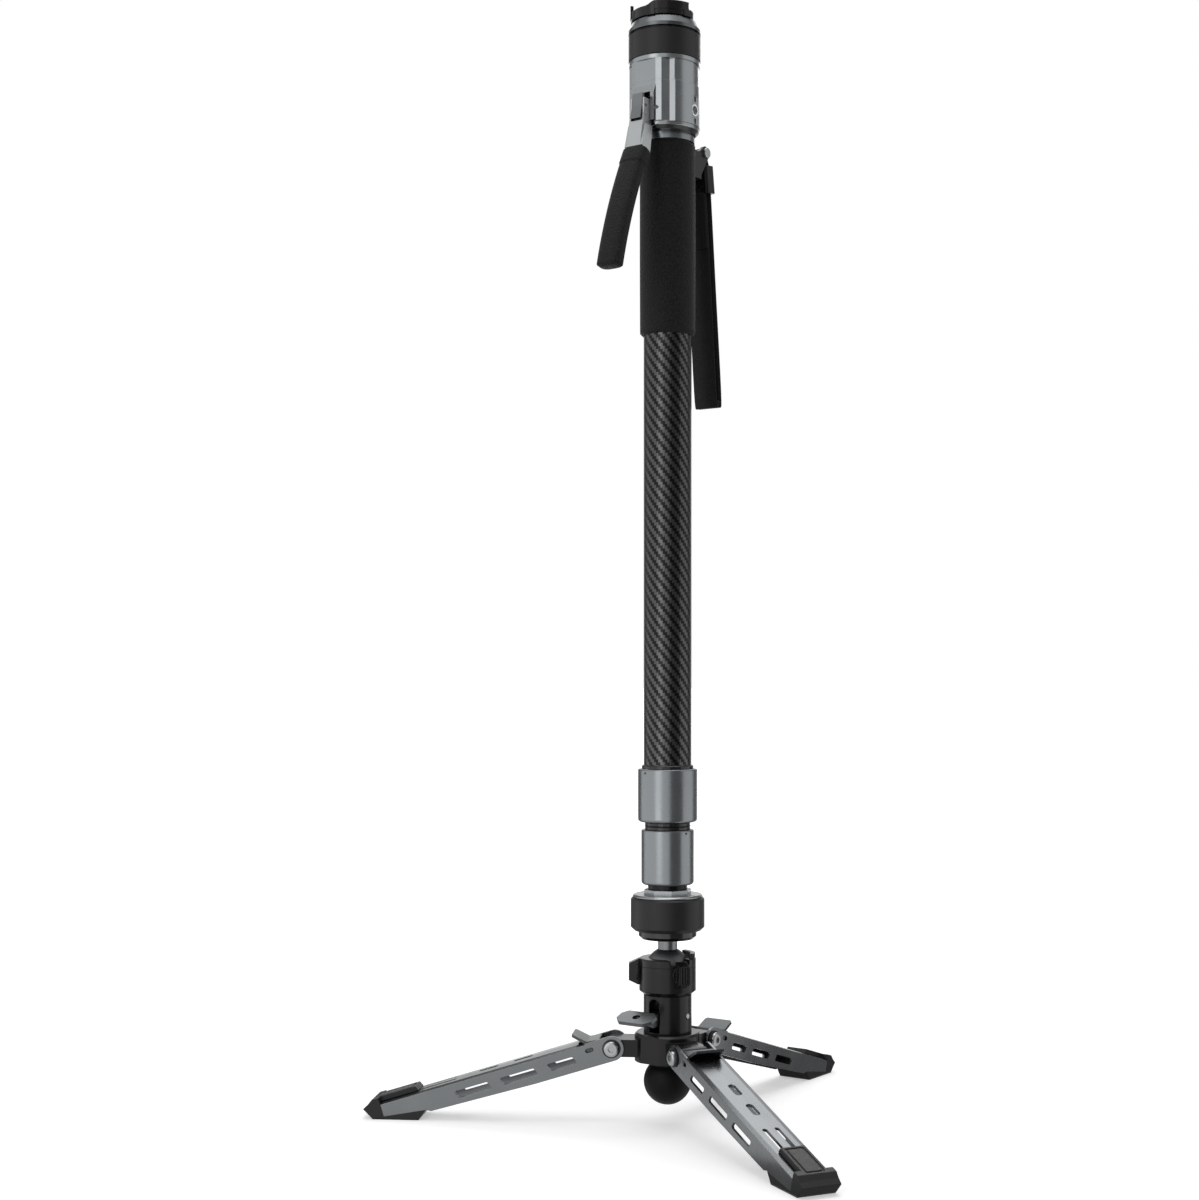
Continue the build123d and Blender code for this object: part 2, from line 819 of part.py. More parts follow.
with BuildPart() as ball_housing:
    with BuildSketch(Plane.XZ):
        with BuildLine():
            Polyline((0, housing_foot - pan_spigot_depth),
                     (pan_spigot_radius, housing_foot - pan_spigot_depth),
                     (pan_spigot_radius, housing_foot), (pedestal_radius, housing_foot),
                     (housing_radius, housing_foot + housing_skirt),
                     (housing_radius, housing_top), (0, housing_top), close=True)
        make_face()
    revolve(axis=Axis.Z)
    with Locations(ball_centre):
        Sphere(ball_radius + run_gap, mode=Mode.SUBTRACT)
    for knob_angle in (tension_angle, lock_angle):
        with BuildSketch(radial_plane(knob_angle, housing_radius + overrun, knob_height)):
            Circle(knob_shank + run_gap)
        extrude(amount=-overrun - knob_shank_length - face_gap, mode=Mode.SUBTRACT)
save(ball_housing, "ball_housing")

with BuildPart() as housing_cap:
    with BuildSketch(Plane.XY.offset(housing_top)):
        Circle(housing_radius)
    extrude(amount=cap_height)
    chamfer(housing_cap.faces().sort_by(Axis.Z)[-1].edges(), edge_break)
    with BuildSketch(Plane.XY.offset(housing_top + cap_height / 2)):
        with BuildLine():
            lug_inner = CenterArc((0, 0), cap_lug_inner, cap_lug_from, cap_lug_to - cap_lug_from)
            lug_outer = CenterArc((0, 0), cap_lug_outer, cap_lug_from, cap_lug_to - cap_lug_from)
            Line(lug_inner @ 0, lug_outer @ 0)
            Line(lug_inner @ 1, lug_outer @ 1)
        make_face()
    extrude(amount=cap_height / 2 + cap_lug_rise)
    with Locations(ball_centre):
        Sphere(ball_radius + run_gap, mode=Mode.SUBTRACT)
    with BuildSketch(radial_plane(notch_angle, 0, ball_height + notch_floor)):
        with Locations((0, housing_radius / 2)):
            Rectangle(2 * notch_half_width, housing_radius)
    extrude(amount=housing_radius + overrun, mode=Mode.SUBTRACT)
save(housing_cap, "housing_cap")


def wing_knob(angle):
    """A knob with a ribbed wing that tapers outwards, on a shank that reaches the ball."""
    face = radial_plane(angle, housing_radius + face_gap, knob_height)
    side = Plane(face.origin, x_dir=face.z_dir, z_dir=-face.x_dir)
    with BuildPart() as knob:
        with BuildSketch(face):
            Circle(knob_shank)
        extrude(amount=-knob_shank_length)
        with BuildSketch(face):
            Circle(knob_hub_radius)
        extrude(amount=knob_hub_depth)
        with BuildSketch(side):
            with BuildLine():
                Polyline((0, -wing_root), (wing_reach, -wing_tip), (wing_reach, wing_tip),
                         (0, wing_root), close=True)
            make_face()
        extrude(amount=wing_half_thickness, both=True)
        with BuildSketch(face.offset(wing_reach)):
            with GridLocations(2 * wing_half_thickness / (wing_rib_count + 1), 0,
                               wing_rib_count, 1):
                Rectangle(wing_rib, 2 * wing_root)
        extrude(amount=-wing_rib, mode=Mode.SUBTRACT)
    return knob


save(wing_knob(tension_angle), "tension_knob")
save(wing_knob(lock_angle), "lock_knob")

with BuildPart() as ball_stem:
    with Locations(ball_centre):
        Sphere(ball_radius)
    with BuildSketch(Plane.XY.offset(ball_height)):
        Circle(stem_radius)
    extrude(amount=stem_rise)
    with BuildSketch(Plane.XY.offset(stem_top)):
        Circle(socket_screw_radius)
    extrude(amount=-socket_screw_depth, mode=Mode.SUBTRACT)
save(ball_stem, "ball_stem")


# Coupling: disc, socket, lock ring and the column's base

stem_disc = turned([(socket_screw_radius, stem_top), (disc_radius - disc_bevel, stem_top),
                    (disc_radius, stem_top + disc_bevel), (disc_radius, disc_top),
                    (socket_screw_radius, disc_top)])
save(stem_disc, "stem_disc")

socket_floor_top = disc_top + socket_floor
coupling_socket = turned([(socket_screw_radius, disc_top), (socket_radius, disc_top),
                          (socket_radius, socket_top), (socket_bore, socket_top),
                          (socket_bore, socket_floor_top),
                          (socket_screw_radius, socket_floor_top)])
save(coupling_socket, "coupling_socket")

stem_screw = turned([(0, stem_top - socket_screw_depth),
                     (socket_screw_radius, stem_top - socket_screw_depth),
                     (socket_screw_radius, socket_floor_top), (socket_screw_head, socket_floor_top),
                     (socket_screw_head, socket_floor_top + socket_screw_head_height),
                     (0, socket_floor_top + socket_screw_head_height)])
save(stem_screw, "stem_screw")

low_ring_foot = disc_top + face_gap
low_ring_top = socket_top - face_gap
low_ring_bore = socket_radius + run_gap
lower_lock_ring = turned([(low_ring_bore, low_ring_foot),
                          (low_ring_radius - low_ring_bevel, low_ring_foot),
                          (low_ring_radius, low_ring_foot + low_ring_bevel),
                          (low_ring_radius, low_ring_top - low_ring_top_bevel),
                          (low_ring_radius - low_ring_top_bevel, low_ring_top),
                          (low_ring_bore, low_ring_top)])
save(lower_lock_ring, "lower_lock_ring")

with BuildPart() as column_base:
    with BuildSketch(Plane.XY.offset(base_spigot_bottom)):
        Circle(socket_bore - pin_gap)
    extrude(amount=base_spigot_drop)
    with BuildSketch(Plane.XY.offset(socket_top)):
        Circle(base_plate_radius)
    extrude(amount=base_plate_thickness)
    chamfer(column_base.edges().group_by(Axis.Z)[-1], base_plate_thickness - edge_break)
    with BuildSketch(Plane.XY.offset(plate_top)):
        RegularPolygon(boss_across / 2, boss_flat_count, major_radius=False)
    extrude(amount=boss_height)
    chamfer(column_base.edges().group_by(Axis.Z)[-1], edge_break)
    with BuildSketch(Plane.XY.offset(boss_top)):
        Circle(lower_radius)
    extrude(amount=lower_foot - boss_top, mode=Mode.SUBTRACT)
    with BuildSketch(Plane.XY.offset(plate_top)):
        with PolarLocations(index_circle, 2):
            Circle(index_hole)
    extrude(amount=edge_break - base_plate_thickness, mode=Mode.SUBTRACT)
save(column_base, "column_base")


# Column: three nested tubes with their collars, brakes and release rods

save(tube(lower_radius, lower_bore, lower_foot, lower_top), "lower_tube")
middle_foot = middle_collar_foot + collar_seat
save(tube(middle_radius, middle_bore, middle_foot, middle_top), "middle_tube")
main_foot = upper_collar_foot + collar_seat
save(tube(main_radius, main_bore, main_foot, main_top), "main_tube")


def collar(outer, seat, slide, foot, top):
    """A turned collar: a seat for its own tube over a lip that the next tube slides through."""
    with BuildPart() as piece:
        with BuildSketch(Plane.XY.offset(foot)):
            Circle(outer)
        extrude(amount=top - foot)
        fillet(piece.faces().sort_by(Axis.Z)[0].edges(), collar_round)
        fillet(piece.faces().sort_by(Axis.Z)[-1].edges(), collar_top_round)
        with BuildSketch(Plane.XY.offset(foot)):
            Circle(slide)
        extrude(amount=collar_seat, mode=Mode.SUBTRACT)
        with BuildSketch(Plane.XY.offset(foot + collar_seat)):
            Circle(seat)
        extrude(amount=top - foot - collar_seat, mode=Mode.SUBTRACT)
    return piece


save(collar(middle_collar_radius, middle_radius, lower_radius + run_gap,
            middle_collar_foot, middle_collar_top), "middle_collar")
save(collar(upper_collar_radius, main_radius, middle_radius + run_gap,
            upper_collar_foot, upper_collar_top), "upper_collar")

seal_middle = (middle_collar_top + middle_seal_top) / 2
middle_seal = turned([(middle_radius, middle_collar_top), (middle_seal_radius, middle_collar_top),
                      (middle_seal_radius, seal_middle - seal_ridge),
                      (middle_seal_radius + seal_ridge, seal_middle),
                      (middle_seal_radius, seal_middle + seal_ridge),
                      (middle_seal_radius, middle_seal_top), (middle_radius, middle_seal_top)])
save(middle_seal, "middle_seal")
upper_seal_top = upper_collar_top + upper_seal_height
upper_seal = turned([(main_radius, upper_collar_top), (upper_seal_radius, upper_collar_top),
                     (upper_seal_radius, upper_seal_top - edge_break),
                     (upper_seal_radius - edge_break, upper_seal_top),
                     (main_radius, upper_seal_top)])
save(upper_seal, "upper_seal")

lower_brake = turned([(relay_radius + slide_gap, lower_top - brake_spigot),
                      (lower_bore, lower_top - brake_spigot), (lower_bore, lower_top),
                      (middle_bore - run_gap, lower_top),
                      (middle_bore - run_gap, lower_top + brake_flange),
                      (relay_radius + slide_gap, lower_top + brake_flange)])
save(lower_brake, "lower_brake")
upper_brake = turned([(relay_radius, middle_top - brake_spigot),
                      (middle_bore, middle_top - brake_spigot), (middle_bore, middle_top),
                      (main_bore - run_gap, middle_top),
                      (main_bore - run_gap, middle_top + brake_flange),
                      (relay_bore, middle_top + brake_flange), (relay_bore, middle_top),
                      (relay_radius, middle_top)])
save(upper_brake, "upper_brake")
save(tube(relay_radius, relay_bore, relay_bottom, middle_top), "relay_tube")


# Grip

with BuildPart() as grip_sleeve:
    with BuildSketch(Plane.XY.offset(grip_bottom)):
        Circle(grip_radius)
    extrude(amount=grip_top - grip_bottom)
    fillet(grip_sleeve.edges().filter_by(GeomType.CIRCLE), grip_round)
    with BuildSketch(Plane.XY.offset(grip_bottom)):
        Circle(main_radius)
    extrude(amount=grip_top - grip_bottom, mode=Mode.SUBTRACT)
save(grip_sleeve, "grip_sleeve")
save(tube(neck_radius, main_radius, grip_top, neck_top), "neck_ring")


# Head: an eccentric housing in two shells with a bay for the trigger

head_axis = (0, -head_offset)
facet_reach = head_offset + facet_depth
bay_back = main_radius + bay_wall


def head_shell(radius, foot, height):
    """A shell of the head: a flat facet between two bevels, then a step up to round panels."""
    right = [(panel_half, panel_depth), (recess_half, recess_depth), (bevel_half, bevel_depth),
             (facet_half, facet_depth)]
    left = [(-x, depth) for x, depth in reversed(right)]
    corners = [(x, -head_offset - depth) for x, depth in right + left]
    ahead = -facet_reach - radius
    with BuildPart() as shell:
        with BuildSketch(Plane.XY.offset(foot)):
            with Locations(head_axis):
                Circle(radius)
            with BuildLine():
                Polyline(*corners, (-panel_half, ahead), (panel_half, ahead), close=True)
            make_face(mode=Mode.SUBTRACT)
            with BuildLine():
                Polyline(*corners, close=True)
            make_face()
        extrude(amount=height)
    return shell.part


body_shell = head_shell(body_radius, body_foot, body_height)
cap_shell = head_shell(head_cap_radius, body_top, head_cap_height)
port_height = body_foot + port_rise
port_face = Plane((port_plane, 0, port_height), x_dir=(0, 1, 0), z_dir=(1, 0, 0))

with BuildPart() as head_body:
    add(body_shell)
    with BuildSketch(front_side):
        with BuildLine():
            Polyline((facet_reach - overrun, body_foot), (ear_reach, body_foot),
                     (ear_reach, body_foot + ear_top), (facet_reach, body_foot + ear_top + ear_slope),
                     (facet_reach - overrun, body_foot + ear_top + ear_slope), close=True)
        make_face()
    extrude(amount=ear_outer, both=True)
    with BuildSketch(Plane.XY.offset(body_foot)):
        with Locations((0, -(bay_back + ear_reach) / 2)):
            Rectangle(2 * ear_inner, ear_reach - bay_back)
    extrude(amount=ear_top + edge_break, mode=Mode.SUBTRACT)
    pocket_foot = main_top + pocket_floor
    with BuildSketch(Plane.XY.offset(pocket_foot)):
        with Locations((0, (pocket_reach - bay_back) / 2)):
            Rectangle(2 * ear_inner, bay_back + pocket_reach)
    extrude(amount=pocket_height, mode=Mode.SUBTRACT)
    with BuildSketch(Plane.XY.offset(body_foot)):
        Circle(main_radius)
    extrude(amount=main_top - body_foot, mode=Mode.SUBTRACT)
    with BuildSketch(Plane.XY.offset(main_top)):
        Circle(rod_radius + run_gap)
    extrude(amount=pocket_floor, mode=Mode.SUBTRACT)
    with BuildSketch(front_side):
        with Locations((lever_pivot_reach, lever_pivot_height)):
            Circle(lever_pin_radius)
    extrude(amount=ear_outer + overrun, both=True, mode=Mode.SUBTRACT)
    with BuildSketch(port_face):
        SlotOverall(2 * port_half_height, 2 * port_half_width, rotation=90)
    extrude(amount=head_offset + overrun, mode=Mode.SUBTRACT)
    with BuildSketch(port_face):
        Circle(insert_outer)
    extrude(amount=-insert_length, mode=Mode.SUBTRACT)
    with BuildSketch(port_face):
        with GridLocations(0, 2 * key_offset, 1, 2):
            Rectangle(key_width, key_length)
    extrude(amount=-key_depth, mode=Mode.SUBTRACT)
save(head_body, "head_body")

with BuildPart() as side_insert:
    with BuildSketch(port_face):
        Circle(insert_outer)
        Circle(insert_thread, mode=Mode.SUBTRACT)
    extrude(amount=-insert_length)
save(side_insert, "side_insert")

with BuildPart() as head_cap:
    add(cap_shell)
save(head_cap, "head_cap")

with BuildPart() as head_skirt:
    with BuildSketch(Plane.XY.offset(neck_top)):
        with Locations(head_axis):
            Circle(skirt_radius)
    extrude(amount=skirt_height)
    chamfer(head_skirt.faces().sort_by(Axis.Z)[0].edges(), skirt_bevel)
    with BuildSketch(Plane.XY.offset(neck_top)):
        Circle(main_radius)
        with Locations((0, -(bay_back + ear_reach) / 2)):
            Rectangle(2 * (lever_shoulder_half + run_gap), ear_reach - bay_back)
    extrude(amount=skirt_height, mode=Mode.SUBTRACT)
save(head_skirt, "head_skirt")

head_rim = turned([(0, head_cap_top), (rim_radius, head_cap_top), (rim_radius, rim_top),
                   (0, rim_top)], head_offset)
save(head_rim, "head_rim")

core_shoulder = top_ring_top + face_gap
lock_core = turned([(0, rim_top), (core_radius, rim_top), (core_radius, core_shoulder),
                    (core_flange_radius, core_shoulder), (core_flange_radius, core_top),
                    (0, core_top)], head_offset)
save(lock_core, "lock_core")

top_ring_bore = core_radius + run_gap
upper_lock_ring = turned([(top_ring_bore, top_ring_foot),
                          (top_ring_radius - edge_break, top_ring_foot),
                          (top_ring_radius, top_ring_foot + edge_break),
                          (top_ring_radius, top_ring_top - edge_break),
                          (top_ring_radius - edge_break, top_ring_top),
                          (top_ring_bore, top_ring_top)], head_offset)
save(upper_lock_ring, "upper_lock_ring")

screw_seat = bevel_top - screw_head_height
bevel_ring = turned([(screw_head_radius, core_top), (bevel_ring_radius, core_top),
                     (bevel_ring_radius, core_top + bevel_ring_land),
                     (bevel_ring_top, bevel_top), (screw_head_radius, bevel_top)], head_offset)
save(bevel_ring, "bevel_ring")

plate_floor_top = plate_base + plate_floor


def wall_sector(angle, half_span, outer, low, high, inner=plate_back_radius - 2 * plate_wall):
    """A sector of a ring about the head's axis, between two heights above the plate's base."""
    with BuildPart() as wedge:
        with BuildSketch(Plane.XY.offset(plate_base + low)):
            with BuildLine():
                arc_in = CenterArc(head_axis, inner, angle - half_span, 2 * half_span)
                arc_out = CenterArc(head_axis, outer, angle - half_span, 2 * half_span)
                Line(arc_in @ 0, arc_out @ 0)
                Line(arc_in @ 1, arc_out @ 1)
            make_face()
        extrude(amount=high - low)
    return wedge.part


front_ear, left_ear, back_ear = ear_angles
ears = ((front_ear, ear_half_span, plate_radius + edge_break, front_ear_height),
        (left_ear, ear_half_span, plate_radius + edge_break, ear_height),
        (back_ear, back_ear_half_span, plate_back_radius - pin_gap, ear_height))
low_span = (front_ear - left_ear) / 2 + ear_half_span
low_middle = (front_ear + left_ear) / 2
with BuildPart() as mount_plate:
    with BuildSketch(Plane.XY.offset(bevel_top)):
        with Locations(head_axis):
            Circle(plate_foot_radius)
    extrude(amount=plate_foot_height)
    with BuildSketch(Plane.XY.offset(plate_base)):
        with Locations(head_axis):
            Circle(plate_back_radius)
    extrude(amount=plate_wall_height)
    add(wall_sector(low_middle, low_span, plate_radius, 0, plate_wall_height))
    with BuildSketch(Plane.XY.offset(plate_floor_top)):
        with Locations(head_axis):
            Circle(plate_back_radius - plate_wall)
    extrude(amount=plate_wall_height, mode=Mode.SUBTRACT)
    add(wall_sector(low_middle, low_span - wall_end_turn, plate_radius - plate_wall, plate_floor,
                    plate_wall_height), mode=Mode.SUBTRACT)
    for ear_angle, ear_span, ear_outside, ear_rise in ears:
        add(wall_sector(ear_angle, ear_span, ear_outside, plate_floor,
                        plate_wall_height + ear_rise, ear_outside - plate_wall + run_gap))
    end_plane = radial_plane(front_ear + ear_half_span - ear_end_turn, 0,
                             plate_base + plate_wall_height + front_ear_height)
    with BuildSketch(end_plane.move(Location((0, -head_offset, 0)))):
        with BuildLine():
            Polyline((0, 0), (ear_end_run, -ear_end_fall), (ear_end_run, overrun),
                     (0, overrun), close=True)
        make_face()
    extrude(amount=plate_radius + overrun, mode=Mode.SUBTRACT)
    with BuildSketch(Plane.XY.offset(bevel_top)):
        with Locations(head_axis):
            Circle(screw_shoulder + pin_gap)
    extrude(amount=plate_floor_top - bevel_top, mode=Mode.SUBTRACT)
save(mount_plate, "mount_plate")

camera_screw = turned([(0, screw_seat), (screw_head_radius, screw_seat),
                       (screw_head_radius, bevel_top), (screw_shoulder, bevel_top),
                       (screw_shoulder, plate_floor_top), (screw_radius, plate_floor_top),
                       (screw_radius, plate_floor_top + screw_length - edge_break),
                       (screw_radius - edge_break, plate_floor_top + screw_length),
                       (0, plate_floor_top + screw_length)], head_offset)
save(camera_screw, "camera_screw")


# Trigger lever: arm, foam grip, pins, lock tab and the rod that it lifts

foam_run = Vector(lever_end_reach - lever_start_reach, lever_end_height - lever_start_height)
foam_length = foam_run.length
foam_along = foam_run.normalized()
foam_out = Vector(-foam_along.Y, foam_along.X)


def lever_point(share, out=0):
    """A point of the lever's centre line at a share of the foam, bowed away from the column."""
    bow = 4 * lever_bow * share * (1 - share)
    start = Vector(lever_start_reach, lever_start_height)
    return start + foam_along * (share * foam_length) + foam_out * (bow + out)


def strip_outline(shares, half_depth):
    """Corners of a strip of even depth along the bowed centre line."""
    outer = [lever_point(share, half_depth) for share in shares]
    inner = [lever_point(share, -half_depth) for share in reversed(shares)]
    return outer + inner


pocket_foot_gap = pocket_foot + face_gap
nose_top = pocket_foot_gap + nose_thickness
lug_top = lever_pivot_height + lever_hub
slot_start = guard_reach - guard_hub - face_gap
with BuildPart() as lever_arm:
    with BuildSketch(front_side):
        with Locations((lever_pivot_reach, lever_pivot_height)):
            Circle(lever_hub)
        with BuildLine():
            Polyline((lever_pivot_reach - lever_hub, lever_pivot_height),
                     (lever_pivot_reach - lever_hub / 2, lug_top), (guard_lug_reach, lug_top),
                     (guard_lug_reach + edge_break, lever_pivot_height - lever_hub),
                     lever_point(0, foam_half_depth), lever_point(0, -foam_half_depth), close=True)
        make_face()
        with BuildLine():
            Polyline((lever_pivot_reach, lug_top), (lever_pivot_reach - lever_hub, nose_top),
                     (nose_tip, nose_top), (nose_tip, pocket_foot_gap),
                     (lever_pivot_reach - lever_hub, pocket_foot_gap),
                     (lever_pivot_reach, lever_pivot_height), close=True)
        make_face()
    extrude(amount=lever_half_width, both=True)
    with BuildSketch(front_side):
        with BuildLine():
            Polyline((lever_pivot_reach + edge_break, neck_top + edge_break),
                     (guard_lug_reach + edge_break, neck_top + edge_break),
                     lever_point(0, foam_half_depth), lever_point(0, -foam_half_depth), close=True)
        make_face()
    extrude(amount=lever_shoulder_half, both=True)
    with BuildSketch(Plane.XY.offset(pocket_foot)):
        with Locations((0, -nose_tip)):
            Rectangle(nose_fork, nose_fork)
    extrude(amount=nose_rise + face_gap, mode=Mode.SUBTRACT)
    with BuildSketch(front_side):
        with Locations(((slot_start + guard_lug_reach + overrun) / 2,
                        lever_pivot_height + (lever_hub - guard_low_drop) / 2)):
            Rectangle(guard_lug_reach + overrun - slot_start, lever_hub + guard_low_drop + overrun)
    extrude(amount=guard_half_width + face_gap, both=True, mode=Mode.SUBTRACT)
    with BuildSketch(front_side):
        with Locations((lever_pivot_reach, lever_pivot_height)):
            Circle(lever_pin_radius + pin_gap)
        with Locations((guard_reach, lever_pivot_height)):
            Circle(guard_pin_radius + pin_gap)
    extrude(amount=lever_shoulder_half + overrun, both=True, mode=Mode.SUBTRACT)
    with BuildSketch(front_side):
        with BuildLine():
            Polyline(*strip_outline((0, core_end_share / 2, core_end_share),
                                    foam_core_half_depth), close=True)
        make_face()
    extrude(amount=foam_core_half_width, both=True)
save(lever_arm, "lever_arm")


def foam_block(end_share, grow):
    """A length of the foam grip from its upper end, grown on every side by an amount."""
    outer = foam_half_depth + grow
    with BuildPart() as block:
        with BuildSketch(front_side):
            with BuildLine():
                ThreePointArc(lever_point(0, outer), lever_point(end_share / 2, outer),
                              lever_point(end_share, outer))
                Line(lever_point(end_share, outer), lever_point(end_share, -outer))
                ThreePointArc(lever_point(end_share, -outer), lever_point(end_share / 2, -outer),
                              lever_point(0, -outer))
                Line(lever_point(0, -outer), lever_point(0, outer))
            make_face()
        extrude(amount=foam_half_width + grow, both=True)
        fillet(block.edges().filter_by(GeomType.CIRCLE), foam_corner)
    return block.part


sleeve = foam_block(sleeve_start_share, sleeve_step)
foam = foam_block(1, 0)
with BuildPart() as lever_grip:
    add(foam)
    add(sleeve)
    with BuildSketch(front_side):
        with BuildLine():
            Polyline(*strip_outline((0, core_end_share / 2, core_end_share),
                                    foam_core_half_depth), close=True)
        make_face()
    extrude(amount=foam_core_half_width, both=True, mode=Mode.SUBTRACT)
save(lever_grip, "lever_grip")

with BuildPart() as lever_pin:
    with BuildSketch(front_side):
        with Locations((lever_pivot_reach, lever_pivot_height)):
            Circle(lever_pin_radius)
    extrude(amount=ear_outer, both=True)
save(lever_pin, "lever_pin")

with BuildPart() as lever_lock_tab:
    with BuildSketch(front_side):
        with Locations((guard_reach, lever_pivot_height)):
            Circle(guard_hub)
        with BuildLine():
            Polyline((guard_reach, lever_pivot_height),
                     (guard_reach, lever_pivot_height + guard_top_rise),
                     (guard_reach + guard_thickness, lever_pivot_height + guard_top_rise),
                     (guard_reach + guard_hub, lever_pivot_height),
                     (guard_reach + guard_hub + guard_low_out, lever_pivot_height - guard_low_drop),
                     (guard_reach + guard_hub, lever_pivot_height - guard_low_drop), close=True)
        make_face()
    extrude(amount=guard_half_width, both=True)
    with BuildSketch(front_side):
        with Locations((guard_reach, lever_pivot_height)):
            Circle(guard_pin_radius)
    extrude(amount=lever_half_width, both=True)
save(lever_lock_tab, "lever_lock_tab")

rod_head_foot = nose_top + face_gap
release_rod = turned([(0, rod_bottom), (rod_radius, rod_bottom), (rod_radius, rod_head_foot),
                      (rod_head_radius, rod_head_foot),
                      (rod_head_radius, rod_head_foot + rod_head_height),
                      (0, rod_head_foot + rod_head_height)])
save(release_rod, "release_rod")


# Wrist strap: anchor on the grip, pin, buckle and a loop of webbing with its tail

with BuildPart() as strap_anchor:
    with BuildSketch(Plane.XY.offset(anchor_bottom)):
        with Locations((0, anchor_reach / 2)):
            Rectangle(2 * anchor_half_width, anchor_reach)
        Circle(grip_radius, mode=Mode.SUBTRACT)
    extrude(amount=anchor_top - anchor_bottom)
    with BuildSketch(back_side):
        with Locations((strap_pin_reach, strap_pin_height)):
            Circle(strap_ear_radius)
        with BuildLine():
            Polyline((anchor_reach - overrun, anchor_bottom + overrun),
                     (anchor_reach, anchor_bottom + overrun),
                     (strap_pin_reach + strap_ear_radius * cos(radians(ear_tilt)),
                      strap_pin_height - strap_ear_radius * sin(radians(ear_tilt))),
                     (strap_pin_reach - strap_ear_radius * sin(radians(ear_tilt)),
                      strap_pin_height + strap_ear_radius * cos(radians(ear_tilt))),
                     (anchor_reach - overrun, anchor_top), close=True)
        make_face()
    extrude(amount=anchor_half_width, both=True)
    with BuildSketch(back_side):
        with Locations((anchor_reach + anchor_reach / 2, anchor_top)):
            Rectangle(anchor_reach, 2 * anchor_top)
    extrude(amount=ear_strap_inner, both=True, mode=Mode.SUBTRACT)
    with BuildSketch(back_side):
        with Locations((strap_pin_reach, strap_pin_height)):
            Circle(strap_pin_radius)
    extrude(amount=anchor_half_width + overrun, both=True, mode=Mode.SUBTRACT)
save(strap_anchor, "strap_anchor")

with BuildPart() as strap_pin:
    with BuildSketch(back_side):
        with Locations((strap_pin_reach, strap_pin_height)):
            Circle(strap_pin_radius)
    extrude(amount=anchor_half_width, both=True)
    with BuildSketch(back_side.offset(anchor_half_width)):
        with Locations((strap_pin_reach, strap_pin_height)):
            Circle(strap_pin_head)
    extrude(amount=strap_pin_head_length)
    fillet(strap_pin.faces().sort_by(Axis.X)[-1].edges(), edge_break)
save(strap_pin, "strap_pin")

strap_spine = (Vector(strap_pin_reach, strap_pin_height), Vector(buckle_reach, buckle_top),
               Vector(buckle_low_reach, buckle_bottom), Vector(strap_middle_reach, strap_middle),
               Vector(strap_end_reach, strap_end_height))


def strap_side(offset, points=strap_spine):
    """Points beside the strap's middle line, at an offset away from the column."""
    beside = []
    for place, point in enumerate(points):
        before = points[max(place - 1, 0)]
        after = points[min(place + 1, len(points) - 1)]
        run = (after - before).normalized()
        beside.append(point + Vector(-run.Y, run.X) * offset)
    return beside


def loop_outline(half):
    """The closed outline of the hanging loop, at half its depth, as a line on the side plane."""
    outer = strap_side(half)
    inner = strap_side(-half)
    first_run = (strap_spine[0] - strap_spine[1]).normalized()
    last_run = (strap_spine[-1] - strap_spine[-2]).normalized()
    with BuildLine() as outline:
        Spline(*outer)
        ThreePointArc(outer[-1], strap_spine[-1] + last_run * half, inner[-1])
        Spline(*reversed(inner))
        ThreePointArc(inner[0], strap_spine[0] + first_run * half, outer[0])
    return outline.line


loop_outer = strap_pin_radius + pin_gap + webbing_thickness
loop_outside = loop_outline(loop_outer)
loop_inside = loop_outline(loop_outer - webbing_thickness)
with BuildPart() as wrist_strap:
    with BuildSketch(back_side):
        make_face(loop_outside.edges())
        make_face(loop_inside.edges(), mode=Mode.SUBTRACT)
        with BuildLine():
            Polyline(strap_side(loop_outer - pin_gap)[2], strap_side(loop_outer + pin_gap)[2],
                     (tail_end_reach + webbing_thickness, tail_end_height),
                     (tail_end_reach, tail_end_height), close=True)
        make_face()
    extrude(amount=webbing_half_width, both=True)
save(wrist_strap, "wrist_strap")

slot_outside = loop_outline(loop_outer + webbing_play)
slot_inside = loop_outline(loop_outer - webbing_thickness - webbing_play)
buckle_middle = (strap_spine[1] + strap_spine[2]) / 2
buckle_run = (strap_spine[1] - strap_spine[2]).normalized()
buckle_plane = Plane((0, buckle_middle.X, buckle_middle.Y), x_dir=(1, 0, 0),
                     z_dir=(0, buckle_run.X, buckle_run.Y))
buckle_height = (strap_spine[1] - strap_spine[2]).length
with BuildPart() as strap_buckle:
    with BuildSketch(buckle_plane.offset(-buckle_height / 2)):
        RectangleRounded(2 * buckle_half_width, 2 * buckle_half_depth, buckle_corner)
    extrude(amount=buckle_height)
    with BuildSketch(back_side):
        make_face(slot_outside.edges())
        make_face(slot_inside.edges(), mode=Mode.SUBTRACT)
        with BuildLine():
            Polyline(strap_side(loop_outer - pin_gap)[2], strap_side(loop_outer + pin_gap)[2],
                     (tail_end_reach + webbing_thickness + webbing_play, tail_end_height),
                     (tail_end_reach - webbing_play, tail_end_height), close=True)
        make_face()
    extrude(amount=webbing_half_width + webbing_play, both=True, mode=Mode.SUBTRACT)
save(strap_buckle, "strap_buckle")
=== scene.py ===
from math import cos, pi, radians, sin

